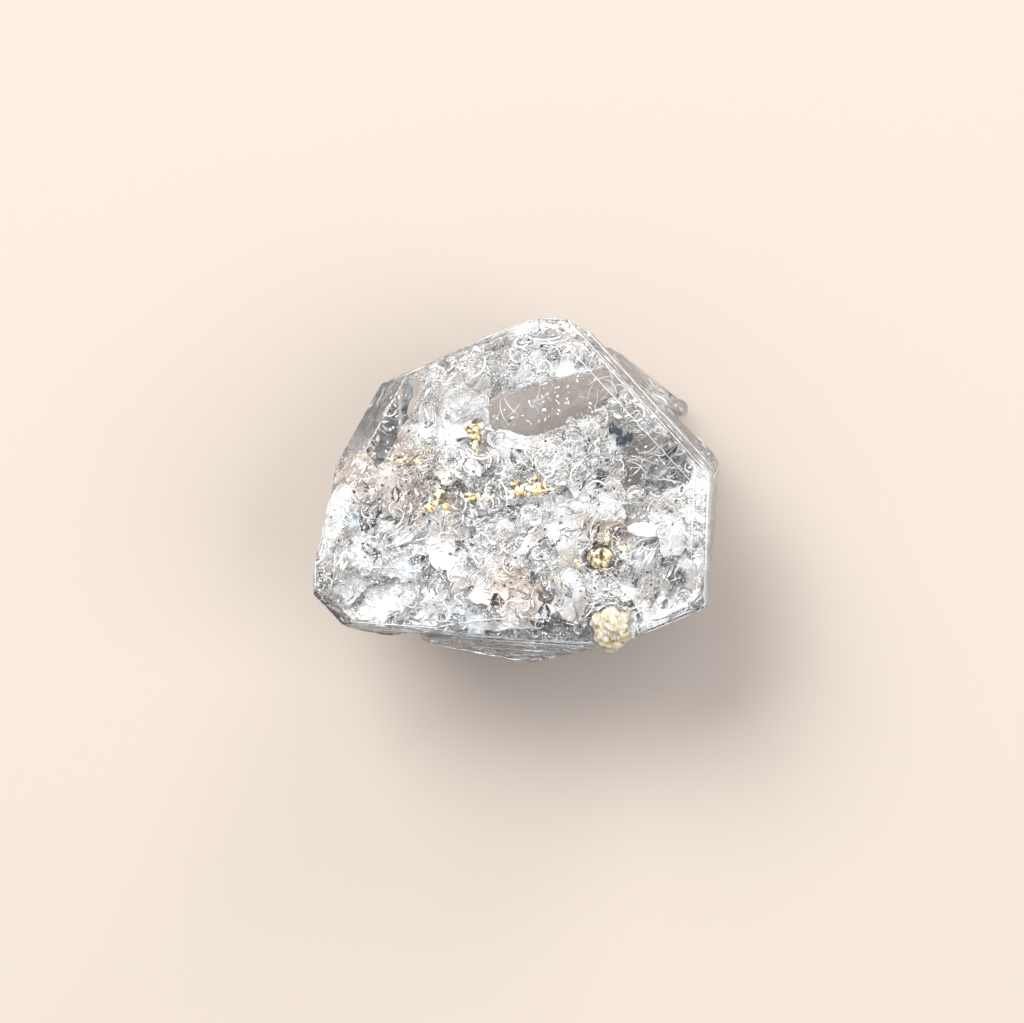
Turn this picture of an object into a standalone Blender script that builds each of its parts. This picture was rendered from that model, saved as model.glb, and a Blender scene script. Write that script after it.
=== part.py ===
"""Herkimer diamond: a clear quartz crystal with points at both ends, lying on one of its faces.

Everything is worked out in millimetres round the crystal's growth centre. A quartz crystal is bounded
by six prism faces and by six sloping faces at each end, and each face is a plane at its own distance
from that centre, so the distances below are what shapes the stone. The upper face U0 faces straight
up, and the lower face L3, opposite it, is the one that the stone rests on.
"""
import math

import bmesh
import bpy
from mathutils import Matrix, Vector

MM = 0.001

# Quartz angles, in degrees: a sloping face's normal from the long axis, and the step round that axis
END_FACE_TILT = 51.79
FACE_STEP = 60.0
# Compass heading in which the long axis leans, in degrees from +X
AXIS_HEADING = 221.0

# Distance of each face from the growth centre, in mm. P is a prism face, U and L are the sloping
# faces of the upper and the lower end, and the digit counts steps round the long axis.
FACE_DISTANCES = {
    "P1": 9.07, "P2": 7.41, "P3": 5.08, "P4": 9.78,
    "U0": 5.20, "U1": 9.33, "U2": 11.50, "U3": 11.80, "U4": 10.32, "U5": 12.60,
    "L0": 9.85, "L1": 9.17, "L2": 5.44, "L3": 5.17, "L4": 8.15, "L5": 12.24,
}

# Where the growth centre stands while the stone is built, in mm to the right and away
CENTRE_PLACE = (-0.557, 0.647)

# Width of the worn line along the crystal's edges, in mm
EDGE_WEAR = 0.12

# Thin growth plates, parallel to the face that they lie on: how far they stand up from it, how far
# their borders are set in from the neighbouring faces, and which borders are set in further, in mm
GROWTH_PLATES = [
    {"face": "U0", "rise": 0.10, "inset": 0.9, "wider": {"U1": 1.0, "U2": 1.2, "U4": 1.9}},
    {"face": "U4", "rise": 0.10, "inset": 0.5, "wider": {"U0": 1.4, "U3": 2.4}},
    {"face": "U4", "rise": 0.34, "inset": 0.3, "wider": {"U0": 0.5, "P4": 6.6, "U5": 6.2}},
    {"face": "P3", "rise": 0.25, "inset": 1.1, "wider": {"U2": 2.6, "L3": 0.7}},
    {"face": "P3", "rise": 0.45, "inset": 2.2, "wider": {"U2": 5.4, "U4": 3.1}},
    {"face": "L2", "rise": 0.20, "inset": 0.9, "wider": {"P1": 1.8}},
    {"face": "L4", "rise": 0.20, "inset": 1.0, "wider": {"L3": 0.6, "L5": 1.7}},
    {"face": "P4", "rise": 0.15, "inset": 0.8, "wider": {"L4": 1.9}},
    {"face": "P2", "rise": 0.12, "inset": 0.6, "wider": {"U1": 1.5}},
]

# Fine lines cut by growth, parallel to the edge between two faces: the face they are on, the face
# beyond the edge, and how far from the edge each line runs, in mm
STRIATIONS = [
    ("L0", "U0", (0.55, 1.35, 2.6, 4.1, 6.0)),
    ("U4", "U0", (1.1, 2.0, 3.2)),
    ("P3", "U4", (1.6, 2.9, 7.0)),
    ("P4", "U4", (1.4, 3.9)),
    ("L2", "P2", (2.1, 4.6)),
    ("L4", "L5", (1.2, 3.8, 5.9)),
    ("P1", "U0", (0.8, 1.9)),
]
STRIATION_WIDTH = 0.26
STRIATION_DEPTH = 0.09

# Shell-shaped dishes where flakes have come off: a point under the dish, the way it faces as compass
# heading and lean, the heading of its long side, half length, half width and depth, in mm
DISHES = [
    {"at": (0.3, -9.1, 10.3), "faces": (-90.0, 40.0), "along": 2.0, "half": (5.9, 1.6), "depth": 0.60},
    {"at": (-10.5, -7.6, 10.1), "faces": (-135.0, 55.0), "along": -40.0, "half": (2.1, 1.1), "depth": 0.40},
    {"at": (-8.4, -6.6, 10.4), "faces": (-90.0, 86.0), "along": 8.0, "half": (2.9, 1.5), "depth": 0.22},
    {"at": (2.6, 9.0, 10.3), "faces": (80.0, 65.0), "along": -12.0, "half": (2.6, 1.2), "depth": 0.35},
    {"at": (3.2, -8.0, 10.4), "faces": (-60.0, 80.0), "along": -35.0, "half": (1.9, 1.0), "depth": 0.26},
    {"at": (9.6, -7.4, 10.3), "faces": (-60.0, 70.0), "along": 25.0, "half": (2.0, 1.0), "depth": 0.28},
    {"at": (-11.7, -2.6, 9.6), "faces": (172.0, 40.0), "along": 80.0, "half": (1.7, 0.9), "depth": 0.25},
    {"at": (-3.4, 8.3, 9.6), "faces": (112.0, 52.0), "along": 20.0, "half": (2.1, 0.6), "depth": 0.16},
    {"at": (0.6, -3.2, 0.8), "faces": (-125.0, -68.0), "along": -48.0, "half": (2.2, 0.8), "depth": 0.22},
    {"at": (4.4, 8.8, 5.0), "faces": (75.0, 3.0), "along": 0.0, "half": (0.7, 1.8), "depth": 0.22},
    {"at": (-6.6, 5.4, 4.2), "faces": (120.0, -38.0), "along": 30.0, "half": (1.8, 0.8), "depth": 0.24},
]

# Broken corners: each is the wedge beyond its planes. A plane is its normal's compass heading and
# lean in degrees and its distance from the growth centre in mm, and the normal points into the wedge.
BROKEN_CORNERS = {
    "right_notch": [(44.6, 1.3, 9.78), (-20.1, -13.6, 7.90)],
    "ledge_end": [(-84.2, -13.0, 7.78), (231.2, -3.2, 10.60)],
    "left_flank": [(168.8, 12.2, 10.91)],
    "top_flank": [(112.4, 14.9, 8.98)],
    "right_ledge": [(41.0, 13.6, 9.41), (0.0, -90.0, -2.2)],
}

# The rounded nub above the notch, in mm
NUB_CENTRE = (8.72, 5.97, 1.30)
NUB_RADIUS = 0.62

# The lump of host rock on the lower right edge: wide where it grew on the crystal, narrow at its free
# end. It is the skin round these balls, as (place from the lump's centre, radius) in mm.
KNOB_CENTRE = (6.08, -9.24, 9.75)
KNOB_BALLS = [
    ((0.00, 0.05, 0.00), 0.88),
    ((-0.78, 0.52, 0.05), 0.50),
    ((0.74, 0.56, -0.05), 0.53),
    ((-0.02, 0.70, 0.12), 0.62),
    ((-0.38, -0.38, 0.10), 0.60),
    ((0.50, -0.22, 0.05), 0.62),
    ((-0.16, -0.84, -0.05), 0.42),
    ((0.27, -0.82, 0.02), 0.38),
    ((0.05, 0.10, 0.47), 0.58),
    ((0.00, 0.10, -0.50), 0.60),
]
KNOB_FINENESS = 4

# The grain in the open pit of the front face, and the pit's mouth above it: half sizes, how many balls
# each is made of, and where on their spiral the balls start
GRAIN_CENTRE = (5.35, -4.87, 9.78)
GRAIN_HALF_SIZES = (0.78, 0.62, 0.42)
GRAIN_BALLS = 9
GRAIN_TURN = 5
GRAIN_FINENESS = 3
PIT_MOUTH_RISE = 0.45
PIT_MOUTH_HALF_SIZES = (0.95, 0.72, 0.55)
PIT_MOUTH_BALLS = 7
PIT_MOUTH_TURN = 3
LUMP_GAP = 0.3

GOLDEN_ANGLE = math.pi * (3.0 - math.sqrt(5.0))


def clear_scene():
    """Takes every object out of the scene."""
    for item in list(bpy.data.objects):
        bpy.data.objects.remove(item, do_unlink=True)


def finish_material(name, colour, roughness, transmission=0.0, ior=1.5):
    """A plain Principled material."""
    material = bpy.data.materials.new(name)
    material.use_nodes = True
    shader = material.node_tree.nodes["Principled BSDF"]
    shader.inputs["Base Color"].default_value = (*colour, 1.0)
    shader.inputs["Roughness"].default_value = roughness
    shader.inputs["Metallic"].default_value = 0.0
    shader.inputs["Transmission Weight"].default_value = transmission
    shader.inputs["IOR"].default_value = ior
    return material


def heading_lean(heading, lean):
    """The unit direction with a compass heading from +X and a lean above the horizontal, in degrees."""
    turn = math.radians(heading)
    rise = math.radians(lean)
    return Vector((math.cos(rise) * math.cos(turn), math.cos(rise) * math.sin(turn), math.sin(rise)))


def face_normal(name):
    """The outward normal of a crystal face, from quartz's fixed angles.

    The long axis leans so that the sloping face U0 faces straight up: it stands END_FACE_TILT from
    the vertical. Prism normals are square to it, and the sloping faces' normals lie between the two.
    """
    tilt = math.radians(END_FACE_TILT)
    heading = math.radians(AXIS_HEADING)
    lean = Vector((math.cos(heading), math.sin(heading), 0.0))
    long_axis = lean * math.sin(tilt) + Vector((0.0, 0.0, math.cos(tilt)))
    first_side = -lean * math.cos(tilt) + Vector((0.0, 0.0, math.sin(tilt)))
    second_side = long_axis.cross(first_side)
    turn = math.radians(FACE_STEP * int(name[1]))
    prism = first_side * math.cos(turn) + second_side * math.sin(turn)
    along = {"P": 0.0, "U": math.cos(tilt), "L": -math.cos(tilt)}[name[0]]
    across = 1.0 if name[0] == "P" else math.sin(tilt)
    return prism * across + long_axis * along


def growth_centre():
    """Where the growth centre lies while the stone is built: over L3, which is at height 0."""
    return Vector((*CENTRE_PLACE, FACE_DISTANCES["L3"]))


def cleave(block, normal, distance):
    """Cuts off what lies beyond a plane, at a distance from the block's own centre, and caps it."""
    cut = bmesh.ops.bisect_plane(
        block, geom=block.verts[:] + block.edges[:] + block.faces[:],
        plane_co=normal * distance, plane_no=normal, clear_outer=True, dist=1e-6)
    rim = [item for item in cut["geom_cut"] if isinstance(item, bmesh.types.BMEdge)]
    if rim:
        bmesh.ops.contextual_create(block, geom=rim)


def planes_to_block(planes, reach=20.0):
    """A convex block: a cube of half side reach, cut by every plane (normal, distance)."""
    block = bmesh.new()
    bmesh.ops.create_cube(block, size=2.0 * reach)
    for normal, distance in planes:
        cleave(block, normal, distance)
    bmesh.ops.recalc_face_normals(block, faces=block.faces[:])
    return block


def edge_wear_planes(block):
    """A plane across each edge of a convex block, as deep as gives a worn line of EDGE_WEAR.

    The plane's normal is halfway between the two faces' normals. Where they stand an angle f apart,
    a flat of width w lies w / 2 * tan(f / 2) below the edge.
    """
    planes = []
    for edge in block.edges:
        first, second = (face.normal.copy() for face in edge.link_faces)
        between = (first + second).normalized()
        depth = 0.5 * EDGE_WEAR * math.tan(0.5 * first.angle(second))
        middle = (edge.verts[0].co + edge.verts[1].co) * 0.5
        planes.append((between, middle.dot(between) - depth))
    return planes


def crystal_planes():
    """Every face of the crystal as (normal, distance)."""
    return [(face_normal(name), distance) for name, distance in FACE_DISTANCES.items()]


def plate_planes(plate):
    """The planes of a growth plate: its own face stands up, and its neighbours' are set in."""
    planes = []
    for name, distance in FACE_DISTANCES.items():
        if name == plate["face"]:
            planes.append((face_normal(name), distance + plate["rise"]))
        elif face_normal(name).dot(face_normal(plate["face"])) > -0.5:
            planes.append((face_normal(name), distance - plate["wider"].get(name, plate["inset"])))
        else:
            planes.append((face_normal(name), distance - plate["inset"]))
    return planes


def add_object(name, block, material=None, place=None):
    """Puts a block of millimetre geometry into the scene as an object in metres."""
    block.transform(Matrix.Translation(place or Vector()))
    block.transform(Matrix.Scale(MM, 4))
    mesh = bpy.data.meshes.new(name)
    block.to_mesh(mesh)
    block.free()
    item = bpy.data.objects.new(name, mesh)
    bpy.context.scene.collection.objects.link(item)
    if material:
        mesh.materials.append(material)
    return item


def hide_tool(item):
    """Marks an object as a guide that shapes another piece and is no piece itself."""
    item.hide_render = True
    item.display_type = "WIRE"


def boolean(target, tool, operation):
    """Joins a tool to the target or cuts it out of it."""
    hide_tool(tool)
    step = target.modifiers.new(tool.name, "BOOLEAN")
    step.operation = operation
    step.solver = "EXACT"
    step.object = tool


def striation_block(face, beyond, offset, reach=14.0):
    """A long three-sided bar that cuts one V-shaped line into a face.

    The line is parallel to the edge between the two faces. Its point on the face is that edge moved
    across the face by offset, and the V is steeper on the side away from the edge.
    """
    normal = face_normal(face)
    other = face_normal(beyond)
    along = normal.cross(other).normalized()
    across = along.cross(normal)
    if across.dot(other) > 0.0:
        across = -across
    slant = math.sqrt(1.0 - normal.dot(other) ** 2)
    edge_place = (FACE_DISTANCES[beyond] - FACE_DISTANCES[face] * normal.dot(other)) / slant
    middle = normal * FACE_DISTANCES[face] + across * (offset - edge_place)
    corners = (
        across * -0.8 * STRIATION_WIDTH + normal * 0.6 * STRIATION_DEPTH,
        across * 0.4 * STRIATION_WIDTH + normal * 0.6 * STRIATION_DEPTH,
        across * 0.15 * STRIATION_WIDTH - normal * STRIATION_DEPTH,
    )
    bar = bmesh.new()
    ends = [[bar.verts.new(middle + corner + along * side) for corner in corners] for side in (-reach, reach)]
    bar.faces.new(ends[0])
    bar.faces.new(reversed(ends[1]))
    for index in range(3):
        after = (index + 1) % 3
        bar.faces.new((ends[0][index], ends[0][after], ends[1][after], ends[1][index]))
    bmesh.ops.recalc_face_normals(bar, faces=bar.faces[:])
    return bar


def surface_above(point, way):
    """Where a line from a point inside the crystal leaves it: at the first face that it meets."""
    start = Vector(point) - growth_centre()
    reaches = []
    for normal, distance in crystal_planes():
        if normal.dot(way) > 0.0:
            reaches.append((distance - start.dot(normal)) / normal.dot(way))
    return Vector(point) + way * min(reaches)


def dish_block(dish):
    """A flattened ball whose lower part, below the surface, is the dish.

    Its centre stands one depth above the surface and its height is two depths, so it cuts one depth
    deep, and its sides are widened so that its section at the surface has the stated half sizes.
    """
    up = heading_lean(*dish["faces"])
    along = heading_lean(dish["along"], 0.0)
    along = (along - up * along.dot(up)).normalized()
    across = up.cross(along)
    spread = 1.0 / math.sqrt(0.75)
    ball = bmesh.new()
    bmesh.ops.create_icosphere(ball, subdivisions=4, radius=1.0)
    sizes = (dish["half"][0] * spread, dish["half"][1] * spread, 2.0 * dish["depth"])
    for corner in ball.verts:
        local = corner.co.copy()
        corner.co = along * local.x * sizes[0] + across * local.y * sizes[1] + up * local.z * sizes[2]
    ball.transform(Matrix.Translation(surface_above(dish["at"], up) + up * dish["depth"]))
    return ball


def lump_balls(half_sizes, count, seed):
    """The balls that a lumpy piece is made of, as (centre, radius), spread round it on a spiral."""
    size = sum(half_sizes) / 3.0
    balls = [(Vector((0.0, 0.0, 0.0)), 0.72 * min(half_sizes))]
    for index in range(count):
        height = 1.0 - 2.0 * (index + 0.5) / count
        ring = math.sqrt(1.0 - height * height)
        turn = GOLDEN_ANGLE * (index + seed)
        way = Vector((ring * math.cos(turn), ring * math.sin(turn), height))
        swing = math.sin(12.9898 * (index + 1) + 7.3 * seed)
        radius = size * (0.50 + 0.12 * swing)
        reach = Vector((way.x * half_sizes[0], way.y * half_sizes[1], way.z * half_sizes[2]))
        balls.append((reach * (1.0 - radius / reach.length), radius))
    return balls


def lump_reach(way, balls, grow):
    """How far from its centre a lumpy piece reaches in a direction: the furthest of its balls."""
    furthest = 0.0
    for centre, radius in balls:
        along = centre.dot(way)
        inside = along * along - centre.length_squared + (radius + grow) ** 2
        if inside > 0.0:
            furthest = max(furthest, along + math.sqrt(inside))
    return furthest


def lump_block(balls, grow, subdivisions):
    """The closed skin round all the balls of a lumpy piece, grown outwards by grow."""
    skin = bmesh.new()
    bmesh.ops.create_icosphere(skin, subdivisions=subdivisions, radius=1.0)
    for corner in skin.verts:
        way = corner.co.normalized()
        corner.co = way * lump_reach(way, balls, grow)
    return skin


def add_lump(name, centre, balls, fineness, material, crystal, mouth=()):
    """Adds a lumpy piece and cuts its socket, LUMP_GAP wider, into the crystal.

    mouth holds further balls for the socket alone, which open it upwards.
    """
    piece = add_object(name, lump_block(balls, 0.0, fineness), material, Vector(centre))
    socket = lump_block(balls + list(mouth), LUMP_GAP, fineness)
    socket = add_object(name + "_socket", socket, None, Vector(centre))
    boolean(crystal, socket, "DIFFERENCE")
    return piece


def build_crystal():
    """The quartz crystal: faces, worn edges, growth plates, striations, chips and dishes."""
    centre = growth_centre()
    clear = finish_material("clear_quartz", (0.93, 0.94, 0.95), 0.05, transmission=1.0, ior=1.544)
    sharp = planes_to_block(crystal_planes())
    sharp.normal_update()
    body = planes_to_block(crystal_planes() + edge_wear_planes(sharp))
    sharp.free()
    crystal = add_object("quartz_crystal", body, clear, centre)

    for index, plate in enumerate(GROWTH_PLATES):
        tool = add_object("growth_plate_%d" % index, planes_to_block(plate_planes(plate)), None, centre)
        boolean(crystal, tool, "UNION")

    for name, planes in BROKEN_CORNERS.items():
        wedge = planes_to_block([(-heading_lean(heading, lean), -distance) for heading, lean, distance in planes])
        boolean(crystal, add_object(name, wedge, None, centre), "DIFFERENCE")

    nub = bmesh.new()
    bmesh.ops.create_icosphere(nub, subdivisions=3, radius=NUB_RADIUS)
    boolean(crystal, add_object("nub", nub, None, Vector(NUB_CENTRE)), "UNION")

    for index, dish in enumerate(DISHES):
        boolean(crystal, add_object("dish_%d" % index, dish_block(dish)), "DIFFERENCE")

    for face, beyond, offsets in STRIATIONS:
        for index, offset in enumerate(offsets):
            bar = striation_block(face, beyond, offset)
            boolean(crystal, add_object("line_%s_%d" % (face, index), bar, None, centre), "DIFFERENCE")
    return crystal


def centre_over_origin(pieces):
    """Moves everything so that the middle of the pieces' common box is over the origin."""
    bpy.context.view_layer.update()
    graph = bpy.context.evaluated_depsgraph_get()
    corners = []
    for piece in pieces:
        shaped = piece.evaluated_get(graph)
        corners += [shaped.matrix_world @ Vector(corner) for corner in shaped.bound_box]
    for axis in (0, 1):
        places = [corner[axis] for corner in corners]
        middle = 0.5 * (min(places) + max(places))
        for item in bpy.data.objects:
            item.location[axis] -= middle


def main():
    """Builds the crystal and the two pieces of other minerals that sit in it."""
    clear_scene()
    crystal = build_crystal()
    dolomite = finish_material("dolomite", (0.82, 0.76, 0.58), 0.65)
    clay = finish_material("iron_stained_clay", (0.52, 0.34, 0.10), 0.7)
    balls = [(Vector(place), radius) for place, radius in KNOB_BALLS]
    knob = add_lump("dolomite_knob", KNOB_CENTRE, balls, KNOB_FINENESS, dolomite, crystal)
    lift = Vector((0.0, 0.0, PIT_MOUTH_RISE))
    opening = lump_balls(PIT_MOUTH_HALF_SIZES, PIT_MOUTH_BALLS, PIT_MOUTH_TURN)
    mouth = [(place + lift, radius) for place, radius in opening]
    balls = lump_balls(GRAIN_HALF_SIZES, GRAIN_BALLS, GRAIN_TURN)
    grain = add_lump("clay_grain", GRAIN_CENTRE, balls, GRAIN_FINENESS, clay, crystal, mouth)
    centre_over_origin([crystal, knob, grain])


main()
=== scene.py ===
"""Looks of a herkimer diamond: a clear quartz crystal full of veils, flecks, threads and small grains.

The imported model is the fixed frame. The crystal's outside is a finer copy of its own solid with growth
relief worked into it, and what has grown inside it is placed within that solid. All sizes are in
millimetres here, and a mesh is turned into metres when it is made.
"""
from __future__ import annotations

import logging
import math
from dataclasses import dataclass, field, replace
from enum import Enum
from typing import Callable

import bmesh
import bpy
import numpy as np
from mathutils import Matrix, Vector
from mathutils.bvhtree import BVHTree

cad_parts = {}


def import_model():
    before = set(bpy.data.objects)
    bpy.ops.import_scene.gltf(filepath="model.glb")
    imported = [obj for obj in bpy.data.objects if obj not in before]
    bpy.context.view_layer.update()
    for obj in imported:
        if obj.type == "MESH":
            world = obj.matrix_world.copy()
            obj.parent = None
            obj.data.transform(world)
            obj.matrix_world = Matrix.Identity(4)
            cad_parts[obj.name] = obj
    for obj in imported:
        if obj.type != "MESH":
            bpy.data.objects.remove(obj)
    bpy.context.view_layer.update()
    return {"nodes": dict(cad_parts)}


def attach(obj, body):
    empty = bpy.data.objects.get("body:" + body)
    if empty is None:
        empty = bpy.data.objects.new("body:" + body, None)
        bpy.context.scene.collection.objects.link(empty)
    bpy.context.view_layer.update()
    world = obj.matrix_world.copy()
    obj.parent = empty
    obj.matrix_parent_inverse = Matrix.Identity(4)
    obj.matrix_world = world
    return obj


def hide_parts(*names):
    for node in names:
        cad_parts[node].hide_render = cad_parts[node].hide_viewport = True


LOG = logging.getLogger("herkimer")
MM = 0.001
BODY = "root"
CRYSTAL = "quartz_crystal"
KNOB = "dolomite_knob"
GRAIN = "clay_grain"
QUARTZ_IOR = 1.544
MERGE_DISTANCE = 1e-7
CUT_TOLERANCE = 1e-8
LEVEL_UP = np.array([0.0, 0.0, 1.0])
Colour = tuple[float, float, float]
Place = tuple[float, float]


def unit(vector: np.ndarray) -> np.ndarray:
    """Vectors scaled to length one, along the last axis."""
    length = np.linalg.norm(vector, axis=-1, keepdims=True)
    return vector / np.maximum(length, 1e-12)


def smooth_step(low: float, high: float, value: np.ndarray) -> np.ndarray:
    """0 below low, 1 above high, and 3 t^2 - 2 t^3 between them."""
    share = np.clip((value - low) / (high - low), 0.0, 1.0)
    return share * share * (3.0 - 2.0 * share)


def heading_lean(heading: float, lean: float) -> np.ndarray:
    """The unit direction with a compass heading from +X and a lean above the horizontal, in degrees."""
    turn, rise = math.radians(heading), math.radians(lean)
    return np.array([math.cos(rise) * math.cos(turn), math.cos(rise) * math.sin(turn), math.sin(rise)])


def waves(points: np.ndarray, wavelength: float, seed: int, count: int = 14) -> np.ndarray:
    """A smooth random field between about -1 and 1.

    It is the sum of count cosine waves in random directions, with wavelengths spread around the given
    one by a third, divided by the square root of half their number.

    Args:
        points: Places in mm, one row each.
        wavelength: The middle wavelength in mm.
        seed: Fixes the directions and phases.
        count: How many waves are added.

    Returns:
        One value for each point.
    """
    draw = np.random.default_rng(seed)
    ways = unit(draw.normal(size=(count, 3)))
    numbers = 2.0 * math.pi / (wavelength * draw.uniform(0.7, 1.35, count))
    phases = draw.uniform(0.0, 2.0 * math.pi, count)
    total = np.zeros(len(points))
    for way, number, phase in zip(ways, numbers, phases):
        total += np.cos(points @ way * number + phase)
    return total / math.sqrt(0.5 * count) * 0.6


def mesh_object(name: str, points: np.ndarray, triangles: np.ndarray) -> bpy.types.Object:
    """A mesh object from arrays.

    Args:
        name: The object's name.
        points: Corners in mm, one row each.
        triangles: Corner numbers, three in each row, counterclockwise seen from outside.

    Returns:
        The new object, which sits at the origin.
    """
    mesh = bpy.data.meshes.new(name)
    mesh.vertices.add(len(points))
    mesh.vertices.foreach_set("co", np.ascontiguousarray(points * MM, dtype=np.float32).ravel())
    mesh.loops.add(triangles.size)
    mesh.loops.foreach_set("vertex_index", np.ascontiguousarray(triangles, dtype=np.int32).ravel())
    mesh.polygons.add(len(triangles))
    mesh.polygons.foreach_set("loop_start", np.arange(0, triangles.size, 3, dtype=np.int32))
    mesh.update(calc_edges=True)
    return linked(name, mesh)


def linked(name: str, data: bpy.types.ID) -> bpy.types.Object:
    """A new object at the origin, put into the scene."""
    item = bpy.data.objects.new(name, data)
    bpy.context.scene.collection.objects.link(item)
    return item


def merged_block(mesh: bpy.types.Mesh) -> bmesh.types.BMesh:
    """A copy of a mesh that can be edited, in which corners at the same place are one."""
    block = bmesh.new()
    block.from_mesh(mesh)
    bmesh.ops.remove_doubles(block, verts=block.verts[:], dist=MERGE_DISTANCE)
    return block


def triangle_mesh(name: str, block: bmesh.types.BMesh) -> bpy.types.Mesh:
    """Cuts an edited block into triangles and turns it into a mesh."""
    bmesh.ops.triangulate(block, faces=block.faces[:])
    mesh = bpy.data.meshes.new(name)
    block.to_mesh(mesh)
    block.free()
    return mesh


def corner_array(mesh: bpy.types.Mesh) -> np.ndarray:
    """A mesh's corners in mm, one row each."""
    points = np.empty(len(mesh.vertices) * 3, dtype=np.float32)
    mesh.vertices.foreach_get("co", points)
    return points.reshape(-1, 3).astype(float) / MM


def raise_corners(mesh: bpy.types.Mesh, points: np.ndarray, raised: np.ndarray, crease: float) -> None:
    """Moves a mesh's corners out along their normals, and smooths its shading.

    Args:
        mesh: The mesh.
        points: Its corners in mm.
        raised: How far each one moves, in mm.
        crease: The angle in degrees from which an edge stays sharp.
    """
    normals = np.empty(len(points) * 3, dtype=np.float32)
    mesh.vertex_normals.foreach_get("vector", normals)
    points = points + normals.reshape(-1, 3) * raised[:, None]
    mesh.vertices.foreach_set("co", np.ascontiguousarray(points * MM, dtype=np.float32).ravel())
    mesh.update()
    mesh.shade_smooth()
    mesh.set_sharp_from_angle(angle=math.radians(crease))


def store_value(mesh: bpy.types.Mesh, name: str, values: np.ndarray) -> None:
    """Stores one number for each corner under a name that a material can read."""
    layer = mesh.attributes.new(name, "FLOAT", "POINT")
    layer.data.foreach_set("value", np.ascontiguousarray(values, dtype=np.float32))


def store_tint(mesh: bpy.types.Mesh, tints: np.ndarray) -> None:
    """Stores a colour for each corner under the name tint."""
    layer = mesh.attributes.new("tint", "FLOAT_COLOR", "POINT")
    full = np.ones((len(tints), 4), dtype=np.float32)
    full[:, :3] = tints
    layer.data.foreach_set("color", full.ravel())


def finish_piece(item: bpy.types.Object, material: bpy.types.Material) -> bpy.types.Object:
    """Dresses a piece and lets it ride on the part's body."""
    item.data.materials.clear()
    item.data.materials.append(material)
    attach(item, BODY)
    LOG.info("%s: %d faces", item.name, len(item.data.polygons))
    return item


def repeated(faces: np.ndarray, count: int, corners: int) -> np.ndarray:
    """A shape's faces written out for count copies that have the given number of corners each."""
    return (faces[None] + (np.arange(count) * corners)[:, None, None]).reshape(-1, 3)


def inclusion(name: str, points: np.ndarray, faces: np.ndarray, tints: np.ndarray, rims: np.ndarray,
              material: bpy.types.Material) -> bpy.types.Object:
    """Many small shapes of one build inside the crystal, joined in one mesh.

    Args:
        name: The piece's name.
        points: Corners in mm, by shape and corner.
        faces: The triangles of one shape.
        tints: Colours, one for all shapes, for each shape or for each corner.
        rims: For each corner of one shape or of all, how near it is to a rim: 0 to 1.
        material: The piece's finish.

    Returns:
        The finished piece.
    """
    count, corners = points.shape[:2]
    item = mesh_object(name, points.reshape(-1, 3), repeated(faces, count, corners))
    store_tint(item.data, np.repeat(tints, count * corners // len(tints), axis=0))
    store_value(item.data, "rim", np.tile(rims, count * corners // len(rims)))
    return finish_piece(item, material)


def gather(propose: Callable[[], np.ndarray], wanted: int, rounds: int = 10) -> np.ndarray:
    """Rows from repeated proposals, until there are enough of them or all rounds are done."""
    rows = propose()
    for _ in range(rounds - 1):
        if len(rows) >= wanted:
            break
        rows = np.concatenate([rows, propose()])
    return rows[:wanted]


def picked(choices: tuple[Colour, ...], count: int, draw: np.random.Generator) -> np.ndarray:
    """A colour for each of count shapes, drawn from a few."""
    return np.array(choices)[draw.integers(0, len(choices), count)]


def warmed(tints: np.ndarray, warmth: np.ndarray) -> np.ndarray:
    """Colours turned towards the warm tint, by a share from 0 to 1 for each."""
    return tints * (1.0 - warmth[:, None] * (1.0 - np.array(WARM_TINT)))


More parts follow.
